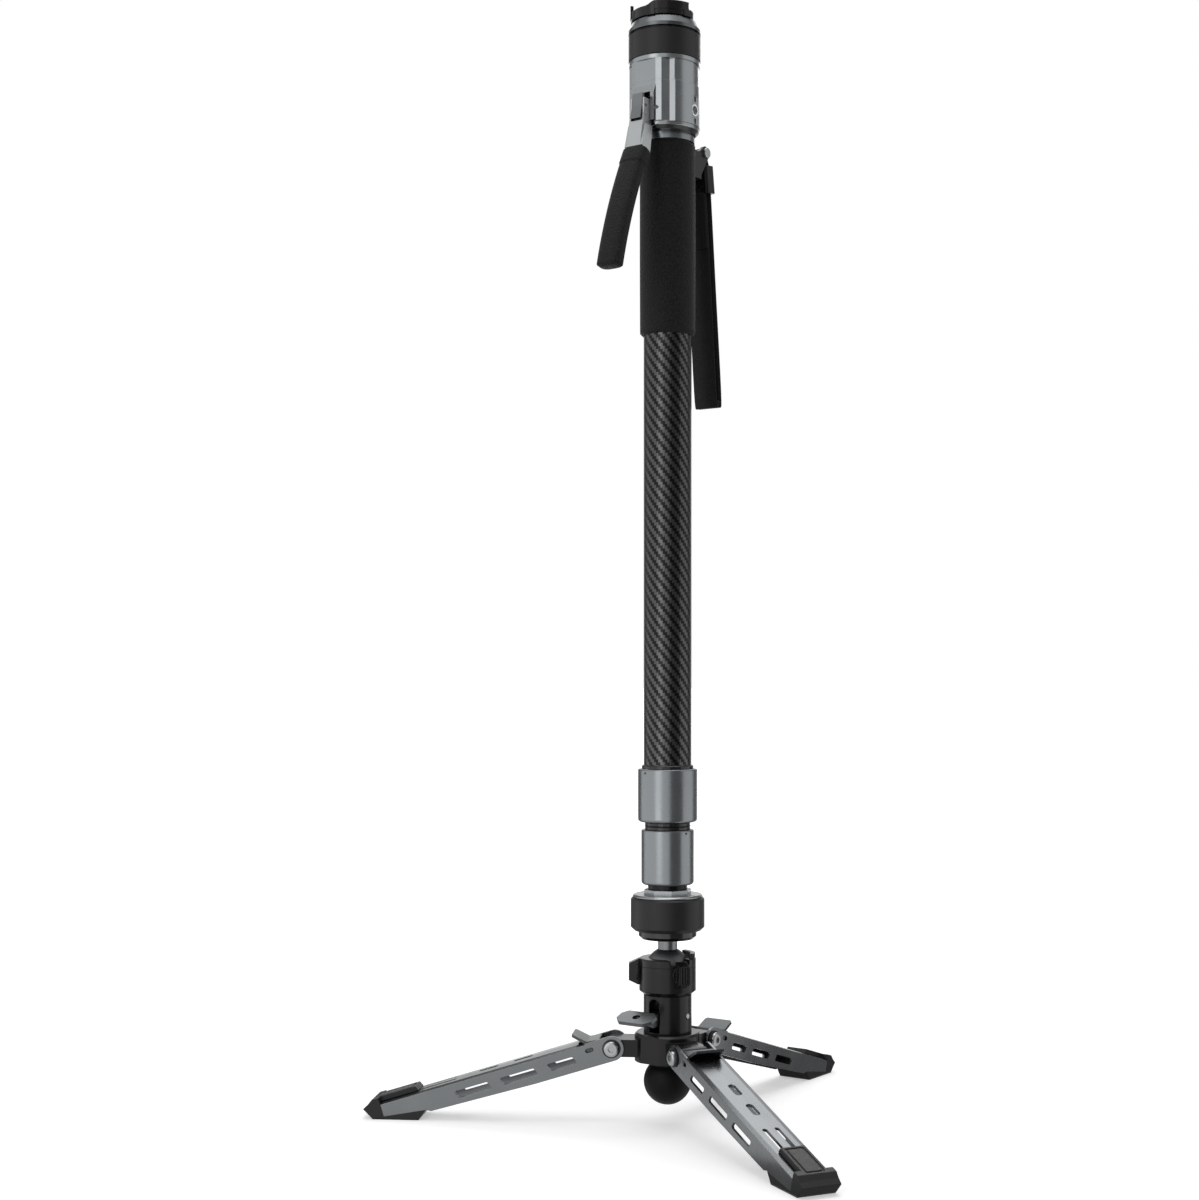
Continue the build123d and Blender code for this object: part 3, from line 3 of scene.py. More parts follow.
import bmesh
import bpy
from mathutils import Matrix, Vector


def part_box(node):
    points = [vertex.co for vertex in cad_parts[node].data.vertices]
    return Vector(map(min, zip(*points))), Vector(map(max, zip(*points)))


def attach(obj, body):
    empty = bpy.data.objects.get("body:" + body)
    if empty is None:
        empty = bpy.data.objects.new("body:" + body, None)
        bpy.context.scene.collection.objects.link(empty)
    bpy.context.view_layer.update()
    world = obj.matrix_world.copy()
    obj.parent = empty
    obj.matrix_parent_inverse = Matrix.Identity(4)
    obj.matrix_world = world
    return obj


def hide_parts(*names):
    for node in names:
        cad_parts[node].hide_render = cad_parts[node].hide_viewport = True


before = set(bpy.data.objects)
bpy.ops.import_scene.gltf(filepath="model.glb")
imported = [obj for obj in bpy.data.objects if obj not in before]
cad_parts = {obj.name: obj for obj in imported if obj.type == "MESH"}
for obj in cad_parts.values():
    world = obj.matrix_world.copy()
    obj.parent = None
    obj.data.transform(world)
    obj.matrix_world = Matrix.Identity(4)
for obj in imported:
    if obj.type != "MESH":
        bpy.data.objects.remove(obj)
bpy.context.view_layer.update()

# The looks of a camera monopod. Metres; Z is up, the trigger and the pedal face -Y and the
# wrist strap hangs at +Y. The camera is fitted to the photograph, which is 1199 by 1200.

PHOTO_WIDTH, PHOTO_HEIGHT = 1199, 1200
FOCAL_PIXELS = 1880.0
HORIZON_ROW = 676.0
PRINCIPAL_COLUMN = 640.0
CAMERA_AZIMUTH = radians(305.3)
CAMERA_DISTANCE = 1.3818
CAMERA_HEIGHT = 0.3273
CAMERA_SIDESTEP = 0.0203
CAMERA_CLIP = (0.05, 50.0)
SENSOR = 36.0

# Light: what the surround and the floor give off, and the soft boxes. Each box has a name, its
# turn from the camera in degrees, its distance, its height above the middle, its width and
# height, and its power.
SURROUND_LIGHT = 0.42
FLOOR_GLOW = 0.42
FLOOR_FADE = (0.35, 1.5)
FLOOR_REACH = 40.0
FLOOR_COLOUR, FLOOR_ROUGHNESS, FLOOR_SPECULAR = (0.82, 0.82, 0.82), 0.9, 0.1
LIGHT_MIDDLE = 0.4
SOFT_BOXES = (
    ("main_box", -37, 1.7, 0.2, 0.72, 1.8, 6.4),
    ("left_fill", -86, 1.6, 0.2, 1.6, 1.8, 1.5),
    ("top_box", 0, 0.0, 1.6, 1.1, 1.4, 11.0),
    ("rear_top_box", 176, 1.35, 1.2, 1.8, 0.9, 9.0),
)
# Grey flags that only reflections meet, each a cloth on the floor that turns up into a wall: its
# two turns from the camera, where the cloth starts and where the wall stands.
FLAGS = (("right_flag", 8, 60, 0.05, 2.1), ("rear_flag", 114, 152, 0.05, 1.7),
         ("left_flag", -160, -124, 0.05, 1.7))
FLAG_HEIGHT, FLAG_LIFT, FLAG_PANELS = 2.6, 0.001, 12
FLAG_COLOUR, FLAG_SHADE = (0.01, 0.01, 0.01), 0.26

# Patterns: grain of blasted metal, tool lines, carbon tows, pebbled skin and webbing.
GRAIN_SIZE, GRAIN_PATCH, TURNED_PATCH = 0.0003, 0.018, 0.02
GRAIN_DEPTH, GRAIN_STRENGTH = 0.00001, 0.5
LINE_PITCH, LINE_DEPTH, LINE_STRENGTH = 0.0004, 0.000004, 0.5
TOW_WIDTH, TOW_PITCH, TOW_CROWN = 0.00172, 0.0021, 1.3
TWILL_REPEAT, TWILL_OVER, FIBRE_SCALE = 4.0, 1.5, 1400.0
TOW_DEPTH, TOW_STRENGTH = 0.00005, 0.6
SPECKLE_SHARE, SPECKLE_FROM, SPECKLE_TO = 0.8, 0.36, 0.66
SKIN_STRENGTH, SKIN_ROUGHNESS = 0.8, 0.08
RIB_PITCH, YARN_PITCH, WAVE_SHARE = 0.0012, 0.0009, 0.25
RIB_DEPTH, RIB_STRENGTH = 0.0002, 0.7
PATCH_FROM, PATCH_TO = 0.3, 0.7
SMOOTHER, ROUGHER = 0.03, 0.04
EDGE_SAMPLES = 4
TWO_TONE_EDGE = 0.0005
NOT_METALLIC = 0.02
CARBON_SHADE, NYLON_SHADE = (0.05, 0.05, 0.051), (0.010, 0.010, 0.011)
CARBON_DARK, CARBON_LIGHT = (0.012, 0.012, 0.0123), (0.07, 0.071, 0.072)

# Heights where a piece changes its finish, where the skirt's painted shade ends, and radii of the
# three tubes.
BALL_TOP, SKIRT_SHADE_TOP, WEAVE_FOOT = 0.1268, 0.7248, 0.178
MAIN_RADIUS, MIDDLE_RADIUS, LOWER_RADIUS = 0.0176, 0.0160, 0.0145


# Camera, floor and light

def place_camera():
    """Stands a level camera where the photograph was taken from."""
    lens = bpy.data.cameras.new("photo_camera")
    lens.sensor_fit = "VERTICAL"
    lens.sensor_height = SENSOR
    lens.lens = FOCAL_PIXELS / PHOTO_HEIGHT * SENSOR
    lens.shift_x = -(PRINCIPAL_COLUMN - PHOTO_WIDTH / 2) / PHOTO_HEIGHT
    lens.shift_y = (HORIZON_ROW - PHOTO_HEIGHT / 2) / PHOTO_HEIGHT
    lens.clip_start, lens.clip_end = CAMERA_CLIP
    camera = bpy.data.objects.new("photo_camera", lens)
    bpy.context.scene.collection.objects.link(camera)
    towards = Vector((cos(CAMERA_AZIMUTH), sin(CAMERA_AZIMUTH), 0))
    rightwards = Vector((-towards.y, towards.x, 0))
    camera.location = towards * CAMERA_DISTANCE - rightwards * CAMERA_SIDESTEP
    camera.location.z = CAMERA_HEIGHT
    camera.rotation_euler = (pi / 2, 0, CAMERA_AZIMUTH + pi / 2)
    bpy.context.scene.camera = camera
    return towards, rightwards


def soft_light(name, place, aim, width, height, power):
    """A rectangular soft box that faces a point."""
    lamp = bpy.data.lights.new(name, "AREA")
    lamp.shape = "RECTANGLE"
    lamp.size, lamp.size_y = width, height
    lamp.energy = power
    box = bpy.data.objects.new(name, lamp)
    bpy.context.scene.collection.objects.link(box)
    box.location = place
    box.rotation_euler = (Vector(aim) - Vector(place)).to_track_quat("-Z", "Y").to_euler()
    return box


def seen_rays(tree, nodes):
    """One where a ray comes straight from the camera, a reflection or a clear body."""
    path = nodes.new("ShaderNodeLightPath")
    both = nodes.new("ShaderNodeMath")
    both.operation = "MAXIMUM"
    tree.links.new(path.outputs["Is Camera Ray"], both.inputs[0])
    tree.links.new(path.outputs["Is Glossy Ray"], both.inputs[1])
    every = nodes.new("ShaderNodeMath")
    every.operation = "MAXIMUM"
    tree.links.new(both.outputs[0], every.inputs[0])
    tree.links.new(path.outputs["Is Transmission Ray"], every.inputs[1])
    return every.outputs[0]


def shining_sheet(material, tree):
    """The floor's glow towards the camera and reflections, over which its shadows still fall."""
    surface = tree.nodes["Principled BSDF"]
    surface.inputs["Emission Color"].default_value = (1, 1, 1, 1)
    place = tree.nodes.new("ShaderNodeTexCoord")
    away = tree.nodes.new("ShaderNodeVectorMath")
    away.operation = "LENGTH"
    tree.links.new(place.outputs["Object"], away.inputs[0])
    fade = tree.nodes.new("ShaderNodeMapRange")
    fade.inputs["From Min"].default_value, fade.inputs["From Max"].default_value = FLOOR_FADE
    fade.inputs["To Min"].default_value, fade.inputs["To Max"].default_value = FLOOR_GLOW, 1.0
    tree.links.new(away.outputs["Value"], fade.inputs["Value"])
    glow = tree.nodes.new("ShaderNodeMath")
    glow.operation = "MULTIPLY"
    tree.links.new(seen_rays(tree, tree.nodes), glow.inputs[0])
    tree.links.new(fade.outputs["Result"], glow.inputs[1])
    tree.links.new(glow.outputs[0], surface.inputs["Emission Strength"])


def light_the_studio(towards, rightwards):
    """A white surround, a pale floor, soft boxes and grey flags."""
    world = bpy.data.worlds.new("studio")
    bpy.context.scene.world = world
    world.use_nodes = True
    tree = world.node_tree
    background = tree.nodes["Background"]
    background.inputs["Color"].default_value = (1, 1, 1, 1)
    strength = tree.nodes.new("ShaderNodeMapRange")
    strength.inputs["To Min"].default_value = SURROUND_LIGHT
    strength.inputs["To Max"].default_value = 1.0
    tree.links.new(seen_rays(tree, tree.nodes), strength.inputs["Value"])
    tree.links.new(strength.outputs["Result"], background.inputs["Strength"])

    sheet = bpy.data.meshes.new("floor")
    reach = FLOOR_REACH
    sheet.from_pydata([(-reach, -reach, 0), (reach, -reach, 0), (reach, reach, 0),
                       (-reach, reach, 0)], [], [(0, 1, 2, 3)])
    floor = bpy.data.objects.new("floor", sheet)
    bpy.context.scene.collection.objects.link(floor)
    pale = bpy.data.materials.new("pale_floor")
    pale.use_nodes = True
    surface = pale.node_tree.nodes["Principled BSDF"]
    surface.inputs["Base Color"].default_value = (*FLOOR_COLOUR, 1)
    surface.inputs["Roughness"].default_value = FLOOR_ROUGHNESS
    surface.inputs["Specular IOR Level"].default_value = FLOOR_SPECULAR
    shining_sheet(pale, pale.node_tree)
    sheet.materials.append(pale)

    cloth = bpy.data.materials.new("flag_cloth")
    cloth.use_nodes = True
    surface = cloth.node_tree.nodes["Principled BSDF"]
    surface.inputs["Base Color"].default_value = (*FLAG_COLOUR, 1)
    surface.inputs["Specular IOR Level"].default_value = 0.0
    surface.inputs["Emission Color"].default_value = (1, 1, 1, 1)
    surface.inputs["Emission Strength"].default_value = FLAG_SHADE
    for name, start, end, near, far in FLAGS:
        points, faces = [], []
        for panel in range(FLAG_PANELS + 1):
            turn = radians(start + (end - start) * panel / FLAG_PANELS)
            out = towards * cos(turn) + rightwards * sin(turn)
            lift, height = Vector((0, 0, FLAG_LIFT)), Vector((0, 0, FLAG_HEIGHT))
            points += [out * near + lift, out * far + lift, out * far + height]
            if panel:
                last, this = 3 * panel - 3, 3 * panel
                faces += [(last, this, this + 1, last + 1),
                          (last + 1, this + 1, this + 2, last + 2)]
        shape = bpy.data.meshes.new(name)
        shape.from_pydata([tuple(point) for point in points], [], faces)
        shape.materials.append(cloth)
        flag = bpy.data.objects.new(name, shape)
        bpy.context.scene.collection.objects.link(flag)
        flag.visible_camera = flag.visible_diffuse = flag.visible_shadow = False

    middle = Vector((0, 0, LIGHT_MIDDLE))
    for name, turn, distance, rise, width, height, power in SOFT_BOXES:
        turned = towards * cos(radians(turn)) + rightwards * sin(radians(turn))
        place = middle + turned * distance + Vector((0, 0, rise))
        soft_light(name, place, middle, width, height, power)


towards_camera, camera_right = place_camera()
light_the_studio(towards_camera, camera_right)
bpy.context.scene.view_settings.view_transform = "Standard"


# Patterns that several finishes share

def new_group(name, inputs, outputs):
    """An empty shader group with named float inputs and outputs."""
    group = bpy.data.node_groups.new(name, "ShaderNodeTree")
    for label, value in inputs:
        socket = group.interface.new_socket(label, in_out="INPUT", socket_type="NodeSocketFloat")
        socket.default_value = value
    for label in outputs:
        group.interface.new_socket(label, in_out="OUTPUT", socket_type="NodeSocketFloat")
    return group, group.nodes.new("NodeGroupInput"), group.nodes.new("NodeGroupOutput")


def calculate(tree, operation, *values):
    """A math node; numbers are set on it and sockets are linked to it."""
    node = tree.nodes.new("ShaderNodeMath")
    node.operation = operation
    for place, value in enumerate(values):
        if isinstance(value, (int, float)):
            node.inputs[place].default_value = value
        else:
            tree.links.new(value, node.inputs[place])
    return node.outputs[0]


def object_place(tree):
    """The place on the piece, and its three measures apart."""
    place = tree.nodes.new("ShaderNodeTexCoord").outputs["Object"]
    parts = tree.nodes.new("ShaderNodeSeparateXYZ")
    tree.links.new(place, parts.inputs["Vector"])
    return place, parts.outputs


def blasted_grain():
    """Fine grain of blasted and anodised metal: a height and a patchiness."""
    group, given, made = new_group(
        "blasted_grain", [("Grain Size", GRAIN_SIZE), ("Patch Size", GRAIN_PATCH)],
        ["Height", "Patches"])
    place = group.nodes.new("ShaderNodeTexCoord")
    grain = group.nodes.new("ShaderNodeTexNoise")
    grain.inputs["Detail"].default_value = 2.0
    group.links.new(place.outputs["Object"], grain.inputs["Vector"])
    group.links.new(calculate(group, "DIVIDE", 1.0, given.outputs["Grain Size"]),
                    grain.inputs["Scale"])
    patches = group.nodes.new("ShaderNodeTexNoise")
    patches.inputs["Detail"].default_value = 3.0
    group.links.new(place.outputs["Object"], patches.inputs["Vector"])
    group.links.new(calculate(group, "DIVIDE", 1.0, given.outputs["Patch Size"]),
                    patches.inputs["Scale"])
    group.links.new(grain.outputs["Fac"], made.inputs["Height"])
    group.links.new(patches.outputs["Fac"], made.inputs["Patches"])
    return group


def lathe_lines():
    """Fine turning lines that run round the column: a height."""
    group, given, made = new_group("lathe_lines", [("Pitch", LINE_PITCH)], ["Height"])
    place, parts = object_place(group)
    line = group.nodes.new("ShaderNodeTexNoise")
    line.noise_dimensions = "1D"
    line.inputs["Detail"].default_value = 2.0
    line.inputs["Scale"].default_value = 1.0
    group.links.new(calculate(group, "DIVIDE", parts["Z"], given.outputs["Pitch"]),
                    line.inputs["W"])
    group.links.new(line.outputs["Fac"], made.inputs["Height"])
    return group


def twill_weave():
    """Two over two twill of carbon tows on a tube: which tow is on top, its height and fibres."""
    group, given, made = new_group(
        "twill_weave", [("Tow Width", TOW_WIDTH), ("Tow Pitch", TOW_PITCH),
                        ("Tube Radius", MAIN_RADIUS)],
        ["Warp", "Height", "Shade"])

    def make(operation, *values):
        return calculate(group, operation, *values)

    def crown(steps):
        """The rounded height of a tow, from its edge over its middle to its other edge."""
        from_middle = make("ABSOLUTE", make("SUBTRACT", make("FRACT", steps), 0.5))
        return make("SUBTRACT", 1.0, make("MULTIPLY", from_middle, TOW_CROWN))

    place, parts = object_place(group)
    turn = make("ARCTAN2", parts["Y"], parts["X"])
    around = make("MULTIPLY", turn, given.outputs["Tube Radius"])
    across = make("DIVIDE", around, given.outputs["Tow Width"])
    along = make("DIVIDE", parts["Z"], given.outputs["Tow Pitch"])
    steps = make("ADD", make("FLOOR", across), make("FLOOR", along))
    warp = make("LESS_THAN", make("FLOORED_MODULO", steps, TWILL_REPEAT), TWILL_OVER)
    crown_across, crown_along = crown(across), crown(along)
    pick = make("MULTIPLY", warp, make("SUBTRACT", crown_across, crown_along))
    fibres = group.nodes.new("ShaderNodeTexNoise")
    fibres.inputs["Scale"].default_value = FIBRE_SCALE
    fibres.inputs["Detail"].default_value = 2.0
    group.links.new(place, fibres.inputs["Vector"])
    group.links.new(warp, made.inputs["Warp"])
    group.links.new(make("ADD", pick, crown_along), made.inputs["Height"])
    group.links.new(fibres.outputs["Fac"], made.inputs["Shade"])
    return group


def moulded_grain():
    """Pebbled skin of rubber, foam and moulded plastic: a height and a patchiness."""
    group, given, made = new_group("moulded_grain", [("Pebble Size", 0.0007)],
                                   ["Height", "Patches"])
    place = group.nodes.new("ShaderNodeTexCoord")
    pebbles = group.nodes.new("ShaderNodeTexVoronoi")
    pebbles.feature = "SMOOTH_F1"
    group.links.new(place.outputs["Object"], pebbles.inputs["Vector"])
    group.links.new(calculate(group, "DIVIDE", 1.0, given.outputs["Pebble Size"]),
                    pebbles.inputs["Scale"])
    speckle = group.nodes.new("ShaderNodeTexNoise")
    speckle.inputs["Detail"].default_value = 4.0
    group.links.new(place.outputs["Object"], speckle.inputs["Vector"])
    group.links.new(calculate(group, "DIVIDE", SPECKLE_SHARE, given.outputs["Pebble Size"]),
                    speckle.inputs["Scale"])
    group.links.new(pebbles.outputs["Distance"], made.inputs["Height"])
    spread = group.nodes.new("ShaderNodeMapRange")
    spread.inputs["From Min"].default_value = SPECKLE_FROM
    spread.inputs["From Max"].default_value = SPECKLE_TO
    group.links.new(speckle.outputs["Fac"], spread.inputs["Value"])
    group.links.new(spread.outputs["Result"], made.inputs["Patches"])
    return group


def ribbed_weave():
    """Ribs of flat webbing that run across it, crossed by its yarns: a height."""
    group, given, made = new_group(
        "ribbed_weave", [("Rib Pitch", RIB_PITCH), ("Yarn Pitch", YARN_PITCH)], ["Height"])
    place, parts = object_place(group)
    rib, yarn = (
        calculate(group, "SINE", calculate(group, "MULTIPLY", 2 * pi, calculate(
            group, "DIVIDE", parts[measure], given.outputs[pitch])))
        for measure, pitch in (("Z", "Rib Pitch"), ("X", "Yarn Pitch")))
    both = calculate(group, "MULTIPLY", WAVE_SHARE, calculate(group, "ADD", rib, yarn))
    group.links.new(calculate(group, "ADD", 0.5, both), made.inputs["Height"])
    return group


BLASTED = blasted_grain()
RIBBED = ribbed_weave()
TURNED = lathe_lines()
TWILL = twill_weave()
MOULDED = moulded_grain()


# Finishes

def finish(name, colour, metallic=0.0, roughness=0.5, specular=0.5, coat=0.0, coat_roughness=0.1):
    """A material whose even values sit on its own shader."""
    material = bpy.data.materials.new(name)
    material.use_nodes = True
    shader = material.node_tree.nodes["Principled BSDF"]
    shader.inputs["Base Color"].default_value = (*colour, 1)
    shader.inputs["Metallic"].default_value = metallic
    shader.inputs["Roughness"].default_value = roughness
    shader.inputs["Specular IOR Level"].default_value = specular
    shader.inputs["Coat Weight"].default_value = coat
    shader.inputs["Coat Roughness"].default_value = coat_roughness
    material.diffuse_color = (*colour, 1)
    return material


def pattern_node(material, group, **values):
    """Places a pattern in a material with its own values."""
    node = material.node_tree.nodes.new("ShaderNodeGroup")
    node.node_tree = group
    for label, value in values.items():
        node.inputs[label.replace("_", " ")].default_value = value
    return node


def shade_between(material, mask, dark, light):
    """Drives the colour from one shade to another with a mask."""
    tree = material.node_tree
    mix = tree.nodes.new("ShaderNodeMix")
    mix.data_type = "RGBA"
    mix.inputs["A"].default_value = (*dark, 1)
    mix.inputs["B"].default_value = (*light, 1)
    tree.links.new(mask, mix.inputs["Factor"])
    tree.links.new(mix.outputs["Result"], tree.nodes["Principled BSDF"].inputs["Base Color"])


def rough_between(material, mask, low, high):
    """Drives the roughness between two values with a mask."""
    tree = material.node_tree
    spread = tree.nodes.new("ShaderNodeMapRange")
    spread.inputs["From Min"].default_value = PATCH_FROM
    spread.inputs["From Max"].default_value = PATCH_TO
    spread.inputs["To Min"].default_value = low
    spread.inputs["To Max"].default_value = high
    tree.links.new(mask, spread.inputs["Value"])
    tree.links.new(spread.outputs["Result"], tree.nodes["Principled BSDF"].inputs["Roughness"])


def raise_bumps(material, height, depth, strength=1.0, edge=0.0):
    """Feeds a height, in metres of depth, to the shader's normal, over softened edges."""
    tree = material.node_tree
    bump = tree.nodes.new("ShaderNodeBump")
    bump.inputs["Distance"].default_value = depth
    bump.inputs["Strength"].default_value = strength
    tree.links.new(height, bump.inputs["Height"])
    if edge:
        soft_edge = tree.nodes.new("ShaderNodeBevel")
        soft_edge.samples = EDGE_SAMPLES
        soft_edge.inputs["Radius"].default_value = edge
        tree.links.new(soft_edge.outputs["Normal"], bump.inputs["Normal"])
    tree.links.new(bump.outputs["Normal"], tree.nodes["Principled BSDF"].inputs["Normal"])


def blasted_metal(name, dark, light, roughness, metallic=1.0, specular=0.5, edge=0.0004):
    """Blasted, anodised aluminium."""
    material = finish(name, light, metallic, roughness, specular)
    grain = pattern_node(material, BLASTED, Grain_Size=GRAIN_SIZE, Patch_Size=GRAIN_PATCH)
    shade_between(material, grain.outputs["Patches"], dark, light)
    rough_between(material, grain.outputs["Patches"], roughness - SMOOTHER, roughness + ROUGHER)
    raise_bumps(material, grain.outputs["Height"], GRAIN_DEPTH, GRAIN_STRENGTH, edge)
    return material


def two_tone_or_painted_shade(name, low_shade, high_shade, height, roughness, low_roughness):
    """Metal with one shade below a height and another above it, used for the ball's darker finish
    under its stem and for painted shade on the skirt's foot; the very dark is no metal.
    """
    material = finish(name, high_shade, 1.0, roughness)
    tree = material.node_tree
    shader = tree.nodes["Principled BSDF"]
    place, parts = object_place(tree)
    above = calculate(tree, "GREATER_THAN", parts["Z"], height)
    shade_between(material, above, low_shade, high_shade)
    spread = tree.nodes.new("ShaderNodeMapRange")
    spread.inputs["To Min"].default_value = low_roughness
    spread.inputs["To Max"].default_value = roughness
    tree.links.new(above, spread.inputs["Value"])
    tree.links.new(spread.outputs["Result"], shader.inputs["Roughness"])
    if max(low_shade) < NOT_METALLIC:
        tree.links.new(above, shader.inputs["Metallic"])
    grain = pattern_node(material, BLASTED, Grain_Size=GRAIN_SIZE, Patch_Size=GRAIN_PATCH)
    raise_bumps(material, grain.outputs["Height"], GRAIN_DEPTH, GRAIN_STRENGTH, TWO_TONE_EDGE)
    return material


def turned_metal(name, dark, light, roughness, edge=0.0004):
    """Turned and anodised aluminium with faint tool lines."""
    material = finish(name, light, 1.0, roughness)
    lines = pattern_node(material, TURNED, Pitch=LINE_PITCH)
    grain = pattern_node(material, BLASTED, Grain_Size=GRAIN_SIZE, Patch_Size=TURNED_PATCH)
    shade_between(material, grain.outputs["Patches"], dark, light)
    rough_between(material, grain.outputs["Patches"], roughness - SMOOTHER, roughness + ROUGHER)
    raise_bumps(material, lines.outputs["Height"], LINE_DEPTH, LINE_STRENGTH, edge)
    return material


def pebbled(name, dark, light, roughness, pebble, depth, specular=0.35, edge=0.0005):
    """Rubber, foam or moulded plastic with a pebbled skin."""
    material = finish(name, light, 0.0, roughness, specular)
    skin = pattern_node(material, MOULDED, Pebble_Size=pebble)
    shade_between(material, skin.outputs["Patches"], dark, light)
    rough_between(material, skin.outputs["Patches"], roughness - SKIN_ROUGHNESS,
                  roughness + SKIN_ROUGHNESS)
    raise_bumps(material, skin.outputs["Height"], depth, SKIN_STRENGTH, edge)
    return material


def foam(name, dark, light, sheen, sheen_roughness):
    """Grip foam: pebbled, dull and a little lighter where the eye grazes it."""
    material = pebbled(name, dark, light, roughness=0.66, pebble=0.0011, depth=0.0006,
                       specular=0.14, edge=0.0)
    shader = material.node_tree.nodes["Principled BSDF"]
    shader.inputs["Sheen Weight"].default_value = sheen
    shader.inputs["Sheen Roughness"].default_value = sheen_roughness
    return material


def carbon(name, radius, bare_below=0.0):
    """Carbon twill under a thin coat, on a tube of one radius; its foot may be plain black."""
    material = finish(name, CARBON_SHADE, metallic=1.0, roughness=0.25, coat=0.1,
                      coat_roughness=0.12)
    weave = pattern_node(material, TWILL, Tow_Width=TOW_WIDTH, Tow_Pitch=TOW_PITCH,
                         Tube_Radius=radius)
    tree = material.node_tree
    shine = calculate(tree, "MULTIPLY", weave.outputs["Warp"],
                      calculate(tree, "ADD", 0.5, weave.outputs["Shade"]))
    place, parts = object_place(tree)
    woven = calculate(tree, "GREATER_THAN", parts["Z"], bare_below)
    shade_between(material, calculate(tree, "MULTIPLY", shine, woven), CARBON_DARK, CARBON_LIGHT)
    raise_bumps(material, weave.outputs["Height"], TOW_DEPTH, TOW_STRENGTH)
    return material


def woven_nylon(name, dark, light):
    """Black webbing with ribs across it."""
    material = finish(name, NYLON_SHADE, roughness=0.6, specular=0.15)
    ribs = pattern_node(material, RIBBED, Rib_Pitch=RIB_PITCH, Yarn_Pitch=YARN_PITCH)
    shade_between(material, ribs.outputs["Height"], dark, light)
    raise_bumps(material, ribs.outputs["Height"], RIB_DEPTH, RIB_STRENGTH)
    return material


# Metals
BLACK_METAL = blasted_metal("black_anodised", (0.006, 0.006, 0.0065), (0.009, 0.009, 0.0095),
                            roughness=0.21, metallic=0.0, specular=0.26, edge=0.0011)
RING_BLACK = blasted_metal("ring_black", (0.010, 0.010, 0.0105), (0.013, 0.013, 0.0135),
                           roughness=0.4, metallic=0.0, specular=0.27)
DISC_BLACK = blasted_metal("disc_black", (0.004, 0.004, 0.004), (0.006, 0.006, 0.006),
                           roughness=0.16, metallic=0.0)
LEG_GREY = blasted_metal("leg_grey", (0.15, 0.158, 0.163), (0.175, 0.184, 0.189),
                         roughness=0.26, edge=0.0006)
# The lock tabs' grey is darker than the legs' as painted shade: the shadow that falls on their
# lips.
TAB_GREY_PAINTED_SHADE = blasted_metal("tab_grey_painted_shade", (0.065, 0.069, 0.072), (0.08, 0.085, 0.088), roughness=0.3)
HEAD_GREY = blasted_metal("head_grey", (0.245, 0.258, 0.265), (0.27, 0.284, 0.292),
                          roughness=0.25)
BEVEL_GREY = blasted_metal("bevel_grey", (0.10, 0.106, 0.11), (0.115, 0.122, 0.126),
                           roughness=0.26)
PEDAL_GREY = blasted_metal("pedal_grey", (0.085, 0.091, 0.095), (0.10, 0.106, 0.11),
                           roughness=0.3)
PLATE_GREY = blasted_metal("plate_grey", (0.22, 0.231, 0.237), (0.25, 0.262, 0.268),
                           roughness=0.26)
GUARD_GREY = blasted_metal("guard_grey", (0.15, 0.158, 0.163), (0.18, 0.19, 0.195),
                           roughness=0.28)
SILVER = blasted_metal("silver_alloy", (0.36, 0.375, 0.38), (0.42, 0.435, 0.44), roughness=0.3)
STEEL = blasted_metal("bright_steel", (0.30, 0.31, 0.315), (0.36, 0.37, 0.375), roughness=0.24)
INSERT = blasted_metal("insert_steel", (0.78, 0.79, 0.8), (0.85, 0.86, 0.87), roughness=0.35)
COLLAR_GREY = turned_metal("collar_grey", (0.175, 0.187, 0.194), (0.19, 0.202, 0.21),
                           roughness=0.27)
STEM_GREY = two_tone_or_painted_shade("stem_grey", (0.12, 0.126, 0.13), (0.15, 0.158, 0.162), BALL_TOP,
                     roughness=0.22, low_roughness=0.5)
# The skirt's foot, below the given height, is painted shade in near black on its downward
# chamfer; above it the skirt has the head's grey.
SKIRT_GREY_PAINTED_SHADE = two_tone_or_painted_shade("skirt_grey_painted_shade", (0.008, 0.008, 0.0085), (0.25, 0.263, 0.27), SKIRT_SHADE_TOP,
                      roughness=0.24, low_roughness=0.24)

# Rubber, foam, plastic and textile
WASHER = pebbled("dark_washer", (0.010, 0.010, 0.011), (0.016, 0.016, 0.017),
                 roughness=0.5, pebble=0.0008, depth=0.00001)
RUBBER = pebbled("black_rubber", (0.008, 0.008, 0.0085), (0.014, 0.014, 0.0145),
                 roughness=0.42, pebble=0.0007, depth=0.00003, specular=0.3, edge=0.0009)
BALL_RUBBER = pebbled("ball_rubber", (0.005, 0.005, 0.0055), (0.008, 0.008, 0.0085),
                      roughness=0.5, pebble=0.0007, depth=0.00002, specular=0.1)
SEAL = pebbled("gloss_seal", (0.004, 0.004, 0.004), (0.006, 0.006, 0.006),
               roughness=0.2, pebble=0.002, depth=0.000004, specular=0.4)
FOAM = foam("grip_foam", (0.001, 0.001, 0.001), (0.015, 0.015, 0.0155),
            sheen=0.11, sheen_roughness=0.4)
POLYMER = pebbled("strap_polymer", (0.007, 0.007, 0.008), (0.011, 0.011, 0.012),
                  roughness=0.36, pebble=0.0009, depth=0.00002)
BUCKLE = pebbled("buckle_black", (0.004, 0.004, 0.0045), (0.006, 0.006, 0.0065),
                 roughness=0.3, pebble=0.0009, depth=0.00002, specular=0.2, edge=0.0012)
INNER = pebbled("inner_polymer", (0.30, 0.30, 0.29), (0.36, 0.36, 0.35),
                roughness=0.5, pebble=0.001, depth=0.00001)
WEBBING = woven_nylon("strap_webbing", (0.005, 0.005, 0.006), (0.014, 0.014, 0.015))
THREAD = finish("stitch_thread", (0.008, 0.008, 0.0085), roughness=0.6, specular=0.2)
DOT_PAINT = finish("dot_paint", (0.006, 0.006, 0.006), specular=0.2)

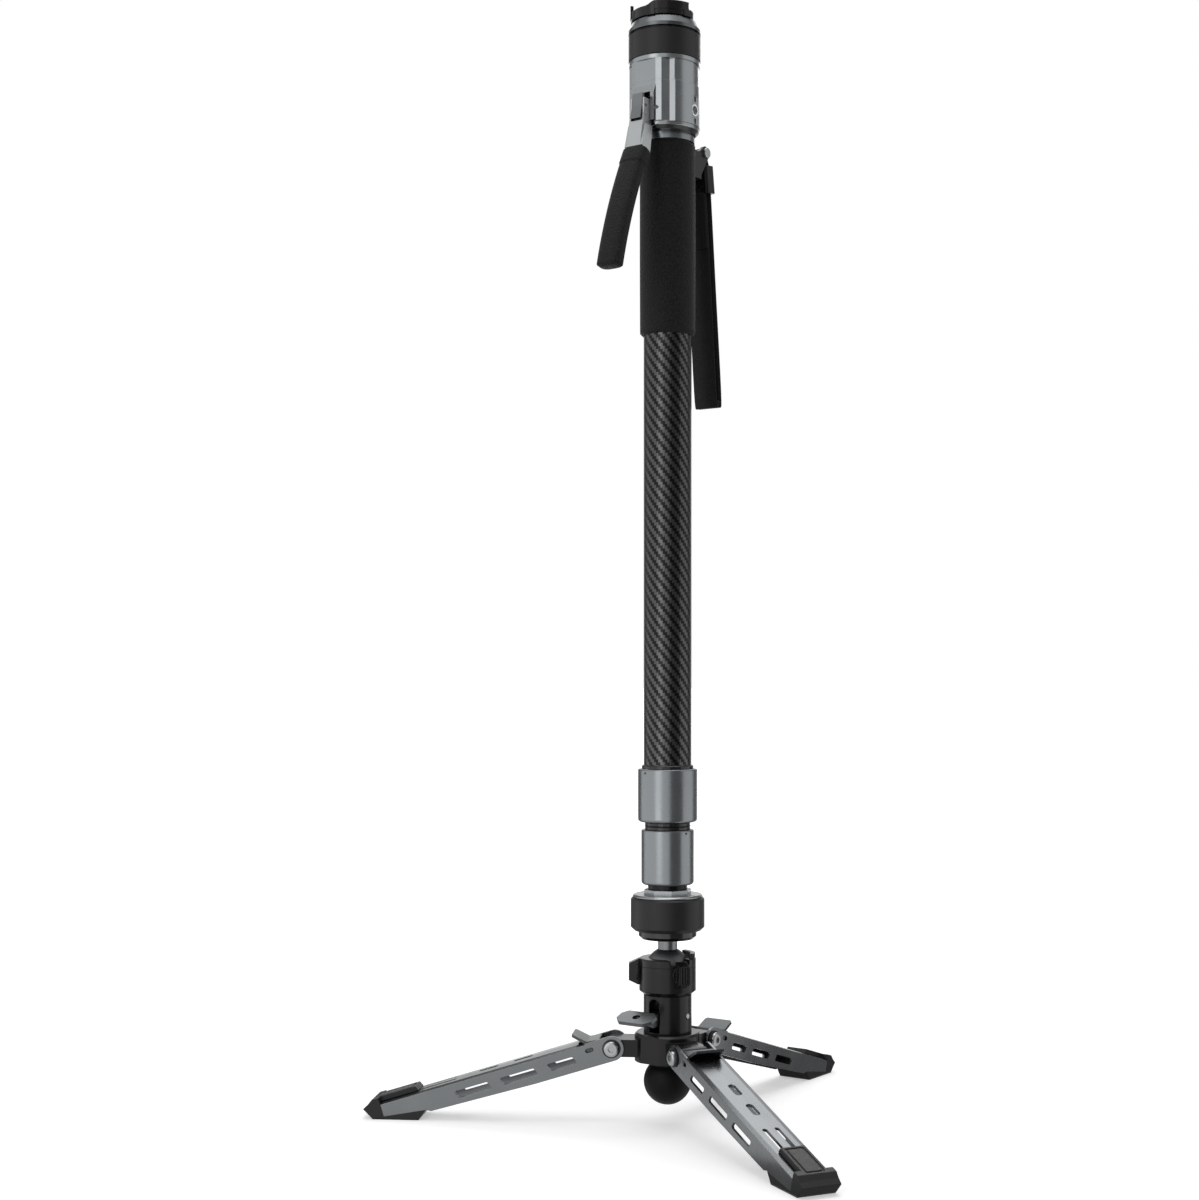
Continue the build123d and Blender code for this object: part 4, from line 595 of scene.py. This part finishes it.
finishes = {
    BLACK_METAL: ["hub", "pedestal", "ball_housing", "housing_cap", "coupling_socket",
                  "lock_core", "mount_plate", "tension_knob", "lock_knob"],
    DISC_BLACK: ["stem_disc"],
    RING_BLACK: ["lower_lock_ring", "upper_lock_ring"],
    LEG_GREY: ["leg_left", "leg_front", "leg_rear"],
    TAB_GREY_PAINTED_SHADE: ["lock_tab_left", "lock_tab_front", "lock_tab_rear"],
    HEAD_GREY: ["head_body", "head_cap", "head_rim"],
    BEVEL_GREY: ["bevel_ring"],
    SKIRT_GREY_PAINTED_SHADE: ["head_skirt"],
    STEM_GREY: ["ball_stem"],
    PEDAL_GREY: ["pedal"],
    COLLAR_GREY: ["middle_collar", "upper_collar", "neck_ring"],
    SILVER: ["lever_arm"],
    PLATE_GREY: ["column_base"],
    INSERT: ["side_insert"],
    GUARD_GREY: ["lever_lock_tab"],
    STEEL: ["leg_pins", "pin_screws", "cross_pin", "foot_stud", "stem_screw", "camera_screw",
            "lever_pin", "strap_pin", "release_rod", "pan_plunger"],
    WASHER: ["pivot_washers"],
    RUBBER: ["foot_left", "foot_front", "foot_rear"],
    BALL_RUBBER: ["ball_foot"],
    SEAL: ["middle_seal", "upper_seal"],
    POLYMER: ["strap_anchor"],
    BUCKLE: ["strap_buckle"],
    INNER: ["lower_brake", "upper_brake", "relay_tube"],
    carbon("carbon_main", MAIN_RADIUS): ["main_tube"],
    carbon("carbon_middle", MIDDLE_RADIUS): ["middle_tube"],
    carbon("carbon_lower", LOWER_RADIUS, WEAVE_FOOT): ["lower_tube"],
}
for material, names in finishes.items():
    for name in names:
        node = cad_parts[name]
        for place in node.material_slots:
            place.material = material


# Soft pieces and small marks

def mesh_piece(name, points, faces, material, body):
    """A closed mesh with its normals outwards, riding on a body."""
    shape = bpy.data.meshes.new(name)
    shape.from_pydata([tuple(point) for point in points], [], faces)
    shape.materials.append(material)
    made = bmesh.new()
    made.from_mesh(shape)
    bmesh.ops.recalc_face_normals(made, faces=made.faces)
    made.to_mesh(shape)
    made.free()
    shape.polygons.foreach_set("use_smooth", [True] * len(shape.polygons))
    piece = bpy.data.objects.new(name, shape)
    bpy.context.scene.collection.objects.link(piece)
    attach(piece, body)
    return piece


def ring_faces(rings, corners, closed_along=False):
    """Quads between rings of equal count; the ends stay open unless the rings close up."""
    count = rings if closed_along else rings - 1
    faces = []
    for ring in range(count):
        near, far = ring * corners, (ring + 1) % rings * corners
        for corner in range(corners):
            after = (corner + 1) % corners
            faces.append((near + corner, near + after, far + after, far + corner))
    return faces


def foam_sleeve():
    """The hand grip: a foam tube with full, rounded ends and a slight swell."""
    low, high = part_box("grip_sleeve")
    outer, bottom, top = high.x, low.z, high.z
    profile = []
    for step in range(GRIP_ROWS + 1):
        share = step / GRIP_ROWS
        height = bottom + (top - bottom) * share
        to_end = min(height - bottom, top - height)
        drawn = max(0.0, 1 - to_end / GRIP_END) ** 2
        swell = GRIP_SWELL * sin(pi * share)
        profile.append((outer - GRIP_SWELL + swell - GRIP_DRAW * drawn, height))
    profile += [(GRIP_BORE, top), (GRIP_BORE, bottom)]
    points = []
    for radius, height in profile:
        for side in range(GRIP_SIDES):
            turn = 2 * pi * side / GRIP_SIDES
            points.append((radius * cos(turn), radius * sin(turn), height))
    faces = ring_faces(len(profile), GRIP_SIDES, closed_along=True)
    sleeve = mesh_piece("foam_sleeve", points, faces, FOAM, "handle")
    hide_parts("grip_sleeve")
    return sleeve


def lever_line(share):
    """A point of the trigger's bowed middle line, as reach and height, and the way along."""
    start, end = Vector(LEVER_START), Vector(LEVER_END)
    run = end - start
    out = Vector((-run.y, run.x)).normalized()
    bow = 4 * LEVER_BOW
    point = start + run * share + out * (bow * share * (1 - share))
    along = (run + out * (bow * (1 - 2 * share))).normalized()
    return point, along


def trigger_foam():
    """The trigger's foam: a crowned oval bar with a thicker band at its upper end."""
    points = []
    for row in range(FOAM_ROWS + 1):
        share = row / FOAM_ROWS
        point, along = lever_line(share)
        out = Vector((-along.y, along.x))
        to_end = min(share, 1 - share) / FOAM_END
        fullness = (1 - max(0.0, 1 - to_end) ** 3) ** 0.5 if to_end < 1 else 1.0
        fullness = max(fullness, FOAM_LEAST)
        band = BAND_STEP if share < BAND_SHARE else 0.0
        half_width = (FOAM_HALF_WIDTH + band) * fullness
        half_depth = (FOAM_HALF_DEPTH + band) * fullness
        for corner in range(FOAM_CORNERS):
            turn = 2 * pi * corner / FOAM_CORNERS
            across = abs(cos(turn)) ** FOAM_SQUARENESS * (1 if cos(turn) > 0 else -1)
            deep = abs(sin(turn)) ** FOAM_SQUARENESS * (1 if sin(turn) > 0 else -1)
            place = point + out * (half_depth * deep)
            points.append((half_width * across, -place.x, place.y))
    faces = ring_faces(FOAM_ROWS + 1, FOAM_CORNERS)
    faces.append(tuple(range(FOAM_CORNERS)))
    last = FOAM_ROWS * FOAM_CORNERS
    faces.append(tuple(last + corner for corner in range(FOAM_CORNERS)))
    foam = mesh_piece("trigger_foam", points, faces, FOAM, "lever")
    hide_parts("lever_grip")
    return foam


def smooth_path(corners, steps, closed=False):
    """A smooth path through corners in the upright plane of the strap: (reach, height) pairs."""
    count = len(corners)
    path = []
    for place in range(count if closed else count - 1):
        around = [place + shift for shift in (-1, 0, 1, 2)]
        if closed:
            around = [spot % count for spot in around]
        else:
            around = [min(max(spot, 0), count - 1) for spot in around]
        before, start, end, after = (Vector(corners[spot]) for spot in around)
        for step in range(steps):
            share = step / steps
            lead, trail = (end - before) * 0.5, (after - start) * 0.5
            cubic = 2 * share ** 3 - 3 * share ** 2 + 1
            path.append(start * cubic + lead * (share ** 3 - 2 * share ** 2 + share)
                        + end * (1 - cubic) + trail * (share ** 3 - share ** 2))
    if not closed:
        path.append(Vector(corners[-1]))
    return path


def band_points(path, closed):
    """Sections of flat webbing along a path: a thin oblong with rounded selvedges."""
    points = []
    for place, point in enumerate(path):
        before = path[place - 1] if closed or place else point
        after = path[(place + 1) % len(path)] if closed or place + 1 < len(path) else point
        run = (after - before).normalized()
        out = Vector((-run.y, run.x))
        half = WEBBING_THICKNESS / 2
        edge = WEBBING_HALF_WIDTH
        section = [(-edge, 0), (-edge + half / 2, half), (0, half), (edge - half / 2, half),
                   (edge, 0), (edge - half / 2, -half), (0, -half), (-edge + half / 2, -half)]
        for across, raised in section:
            beside = point + out * raised
            points.append((across, beside.x, beside.y))
    return points


def strap_webbing():
    """The wrist strap: a hanging loop of webbing and the free tail below the buckle."""
    half = STRAP_HALF_LOOP
    spine = [Vector(point) for point in STRAP_SPINE]
    runs = [(spine[min(k + 1, len(spine) - 1)] - spine[max(k - 1, 0)]).normalized()
            for k in range(len(spine))]
    outer = [p + Vector((-r.y, r.x)) * half for p, r in zip(spine, runs)]
    inner = [p - Vector((-r.y, r.x)) * half for p, r in zip(spine, runs)]
    corners = outer + [spine[-1] + runs[-1] * half] + inner[::-1] + [spine[0] - runs[0] * half]
    loop = smooth_path(corners, STRAP_STEPS, closed=True)
    tail = smooth_path([Vector(point) for point in TAIL_POINTS], STRAP_STEPS)
    points = band_points(loop, True)
    faces = ring_faces(len(loop), BAND_CORNERS, closed_along=True)
    start = len(points)
    points += band_points(tail, False)
    faces += [tuple(start + corner for corner in face)
              for face in ring_faces(len(tail), BAND_CORNERS)]
    faces.append(tuple(start + corner for corner in range(BAND_CORNERS)))
    end = start + BAND_CORNERS * (len(tail) - 1)
    faces.append(tuple(end + corner for corner in range(BAND_CORNERS)))
    strap = mesh_piece("strap_webbing", points, faces, WEBBING, "handle")
    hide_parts("wrist_strap")
    return strap


def stitch_tree():
    """Geometry Nodes: stitches laid along a line, with their spacing, length and thread."""
    tree = bpy.data.node_groups.new("stitch_row", "GeometryNodeTree")
    tree.interface.new_socket("Geometry", in_out="INPUT", socket_type="NodeSocketGeometry")
    for label, value in (("Spacing", STITCH_SPACING), ("Stitch Length", STITCH_LENGTH),
                         ("Thread Radius", STITCH_RADIUS)):
        socket = tree.interface.new_socket(label, in_out="INPUT", socket_type="NodeSocketFloat")
        socket.default_value = value
    tree.interface.new_socket("Thread", in_out="INPUT", socket_type="NodeSocketMaterial")
    tree.interface.new_socket("Geometry", in_out="OUTPUT", socket_type="NodeSocketGeometry")
    given = tree.nodes.new("NodeGroupInput")
    made = tree.nodes.new("NodeGroupOutput")
    path = tree.nodes.new("GeometryNodeMeshToCurve")
    spaced = tree.nodes.new("GeometryNodeResampleCurve")
    spaced.mode = "LENGTH"
    stitch = tree.nodes.new("GeometryNodeMeshCylinder")
    stitch.inputs["Vertices"].default_value = THREAD_SIDES
    turn = tree.nodes.new("GeometryNodeInputTangent")
    align = tree.nodes.new("FunctionNodeAlignRotationToVector")
    align.axis = "Z"
    lay = tree.nodes.new("GeometryNodeInstanceOnPoints")
    solid = tree.nodes.new("GeometryNodeRealizeInstances")
    dye = tree.nodes.new("GeometryNodeSetMaterial")
    links = tree.links
    links.new(given.outputs["Geometry"], path.inputs["Mesh"])
    links.new(path.outputs["Curve"], spaced.inputs["Curve"])
    links.new(given.outputs["Spacing"], spaced.inputs["Length"])
    links.new(given.outputs["Thread Radius"], stitch.inputs["Radius"])
    links.new(given.outputs["Stitch Length"], stitch.inputs["Depth"])
    links.new(spaced.outputs["Curve"], lay.inputs["Points"])
    links.new(stitch.outputs["Mesh"], lay.inputs["Instance"])
    links.new(turn.outputs["Tangent"], align.inputs["Vector"])
    links.new(align.outputs["Rotation"], lay.inputs["Rotation"])
    links.new(lay.outputs["Instances"], solid.inputs["Geometry"])
    links.new(solid.outputs["Geometry"], dye.inputs["Geometry"])
    links.new(given.outputs["Thread"], dye.inputs["Material"])
    links.new(dye.outputs["Geometry"], made.inputs["Geometry"])
    return tree


def stitched_box():
    """A box of stitches on the strap's tail, on its face to the column."""
    face_low, face_high = Vector(TAIL_POINTS[-1]), Vector(TAIL_POINTS[-2])
    run = (face_high - face_low).normalized()
    out = Vector((-run.y, run.x))
    lift = out * (WEBBING_THICKNESS / 2 + STITCH_RADIUS / 2)
    low = face_low + run * STITCH_MARGIN + lift
    high = low + run * STITCH_BOX
    side = WEBBING_HALF_WIDTH - STITCH_MARGIN
    corners = [(-side, low.x, low.y), (side, low.x, low.y), (side, high.x, high.y),
               (-side, high.x, high.y)]
    line = bpy.data.meshes.new("stitch_line")
    line.from_pydata(corners, [(0, 1), (1, 2), (2, 3), (3, 0)], [])
    holder = bpy.data.objects.new("stitch_line", line)
    bpy.context.scene.collection.objects.link(holder)
    tree = stitch_tree()
    row = holder.modifiers.new("stitch_row", "NODES")
    row.node_group = tree
    for item in tree.interface.items_tree:
        if item.in_out == "INPUT" and item.name == "Thread":
            row[item.identifier] = THREAD
    evaluated = holder.evaluated_get(bpy.context.evaluated_depsgraph_get())
    sewn = bpy.data.meshes.new_from_object(evaluated)
    holder.modifiers.remove(row)
    bpy.data.objects.remove(holder)
    stitches = bpy.data.objects.new("strap_stitches", sewn)
    bpy.context.scene.collection.objects.link(stitches)
    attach(stitches, "handle")
    return stitches


def index_dot(name, body, azimuth, radius, height):
    """A small dark dot on a collar, at a turn about the column and a height."""
    out = Vector((cos(radians(azimuth)), sin(radians(azimuth)), 0))
    beside = Vector((-out.y, out.x, 0))
    up = Vector((0, 0, 1))
    points = []
    for lift in (-DOT_DEPTH, DOT_DEPTH):
        for side in range(DOT_SIDES):
            turn = 2 * pi * side / DOT_SIDES
            points.append(out * (radius + lift) + beside * (DOT_RADIUS * cos(turn))
                          + up * (height + DOT_RADIUS * sin(turn)))
    faces = ring_faces(2, DOT_SIDES)
    faces += [tuple(range(DOT_SIDES)), tuple(range(DOT_SIDES, 2 * DOT_SIDES))]
    return mesh_piece(name, points, faces, DOT_PAINT, body)


def ring_wall(name, material, body, stations, inner, outer):
    """A piece of upright ring wall about the head's axis, from stations of turn, foot and top."""
    points = []
    for turn, foot, top in stations:
        out = Vector((cos(radians(turn)), sin(radians(turn)), 0))
        for radius, height in ((inner, foot), (outer, foot), (outer, top), (inner, top)):
            points.append(out * radius + Vector((0, HEAD_OFFSET, height)))
    faces = ring_faces(len(stations), 4)
    last = 4 * (len(stations) - 1)
    faces += [(0, 1, 2, 3), (last, last + 1, last + 2, last + 3)]
    wall = mesh_piece(name, points, faces, material, body)
    wall.data.polygons.foreach_set("use_smooth", [False] * len(wall.data.polygons))
    return wall


def ear_ends():
    """The two ends of the mount plate's front ear: a soft rise and a long slope."""
    rise, slope = [], []
    for step in range(EAR_STEPS + 1):
        share = step / EAR_STEPS
        soft = share * share * (3 - 2 * share)
        rise.append((EAR_RISE_FROM + (EAR_RISE_TO - EAR_RISE_FROM) * share, EAR_FOOT,
                     EAR_LOW + (EAR_HIGH - EAR_LOW) * soft))
        drop = share ** EAR_SLOPE_CURVE
        slope.append((EAR_SLOPE_FROM + (EAR_SLOPE_TO - EAR_SLOPE_FROM) * share, EAR_FOOT,
                      EAR_HIGH + (EAR_FOOT + EAR_EDGE - EAR_HIGH) * drop))
    ring_wall("ear_rise", BLACK_METAL, "handle", rise, EAR_INNER, EAR_OUTER)
    ring_wall("ear_slope", BLACK_METAL, "handle", slope, EAR_INNER, EAR_OUTER)


def knob_boss(name, body, turn):
    """The flat boss between the ball housing and the wings of a knob."""
    out = Vector((cos(radians(turn)), sin(radians(turn)), 0))
    beside = Vector((-out.y, out.x, 0))
    up = Vector((0, 0, 1))
    points = []
    for reach in (BOSS_FROM, BOSS_TO):
        for across, rise in ((-1, -1), (1, -1), (1, 1), (-1, 1)):
            points.append(out * reach + beside * (BOSS_HALF_WIDTH * across)
                          + up * (KNOB_HEIGHT + BOSS_HALF_HEIGHT * rise))
    faces = ring_faces(2, 4) + [(0, 1, 2, 3), (4, 5, 6, 7)]
    boss = mesh_piece(name, points, faces, BLACK_METAL, body)
    boss.data.polygons.foreach_set("use_smooth", [False] * len(boss.data.polygons))
    return boss


# Mount plate's front ear: its ends, in degrees about the head's axis, and its heights and radii
HEAD_OFFSET = -0.004
EAR_STEPS = 20
EAR_RISE_FROM, EAR_RISE_TO = 272.0, 288.2
EAR_SLOPE_FROM, EAR_SLOPE_TO = 339.0, 357.0
EAR_SLOPE_CURVE = 1.25
EAR_FOOT, EAR_LOW, EAR_HIGH, EAR_EDGE = 0.8045, 0.8117, 0.81445, 0.0006
EAR_INNER, EAR_OUTER = 0.0228, 0.0252

# Boss of the knobs
KNOB_HEIGHT = 0.1105
BOSS_HALF_WIDTH, BOSS_HALF_HEIGHT = 0.0036, 0.0094
BOSS_FROM, BOSS_TO = 0.0204, 0.0214

# Grip and trigger foam
GRIP_ROWS, GRIP_SIDES = 80, 96
GRIP_END, GRIP_DRAW = 0.0022, 0.0018
GRIP_SWELL, GRIP_BORE = 0.0002, 0.0177
LEVER_START, LEVER_END = (0.0384, 0.705), (0.0724, 0.615)
LEVER_BOW = 0.003
FOAM_ROWS, FOAM_CORNERS = 120, 48
FOAM_HALF_WIDTH, FOAM_HALF_DEPTH = 0.0098, 0.0056
FOAM_SQUARENESS = 0.62
FOAM_END, FOAM_LEAST = 0.022, 0.62
BAND_STEP, BAND_SHARE = 0.0005, 0.14

# Wrist strap: the loop's middle line and the tail, as reach and height behind the column
WEBBING_HALF_WIDTH, WEBBING_THICKNESS = 0.010, 0.0015
STRAP_HALF_LOOP = 0.0032
STRAP_STEPS, BAND_CORNERS = 12, 8
STRAP_SPINE = ((0.031, 0.7165), (0.0369, 0.7085), (0.0396, 0.6885), (0.0462, 0.620),
               (0.054, 0.538))
TAIL_POINTS = ((0.033, 0.702), (0.0347, 0.6885), (0.0367, 0.668), (0.0386, 0.648))
STITCH_MARGIN, STITCH_BOX = 0.003, 0.014
STITCH_SPACING, STITCH_LENGTH, STITCH_RADIUS, THREAD_SIDES = 0.0022, 0.0015, 0.00028, 6

# Index dots, and where they and the knobs sit: turns about the column in degrees, heights
DOT_RADIUS, DOT_DEPTH, DOT_SIDES = 0.0008, 0.00008, 20
UPPER_DOT_TURN, UPPER_DOT_REACH, UPPER_DOT_HEIGHT = 256.0, 0.0219, 0.2565
MIDDLE_DOT_TURN, MIDDLE_DOT_REACH, MIDDLE_DOT_HEIGHT = 348.6, 0.0194, 0.2125
LOCK_KNOB_TURN, TENSION_KNOB_TURN = 331.0, 213.0

ear_ends()
knob_boss("lock_knob_boss", "lock_knob", LOCK_KNOB_TURN)
knob_boss("tension_knob_boss", "knob", TENSION_KNOB_TURN)
foam_sleeve()
trigger_foam()
strap_webbing()
stitched_box()
index_dot("index_dot_upper", "handle", UPPER_DOT_TURN, UPPER_DOT_REACH, UPPER_DOT_HEIGHT)
index_dot("index_dot_middle", "middle", MIDDLE_DOT_TURN, MIDDLE_DOT_REACH, MIDDLE_DOT_HEIGHT)
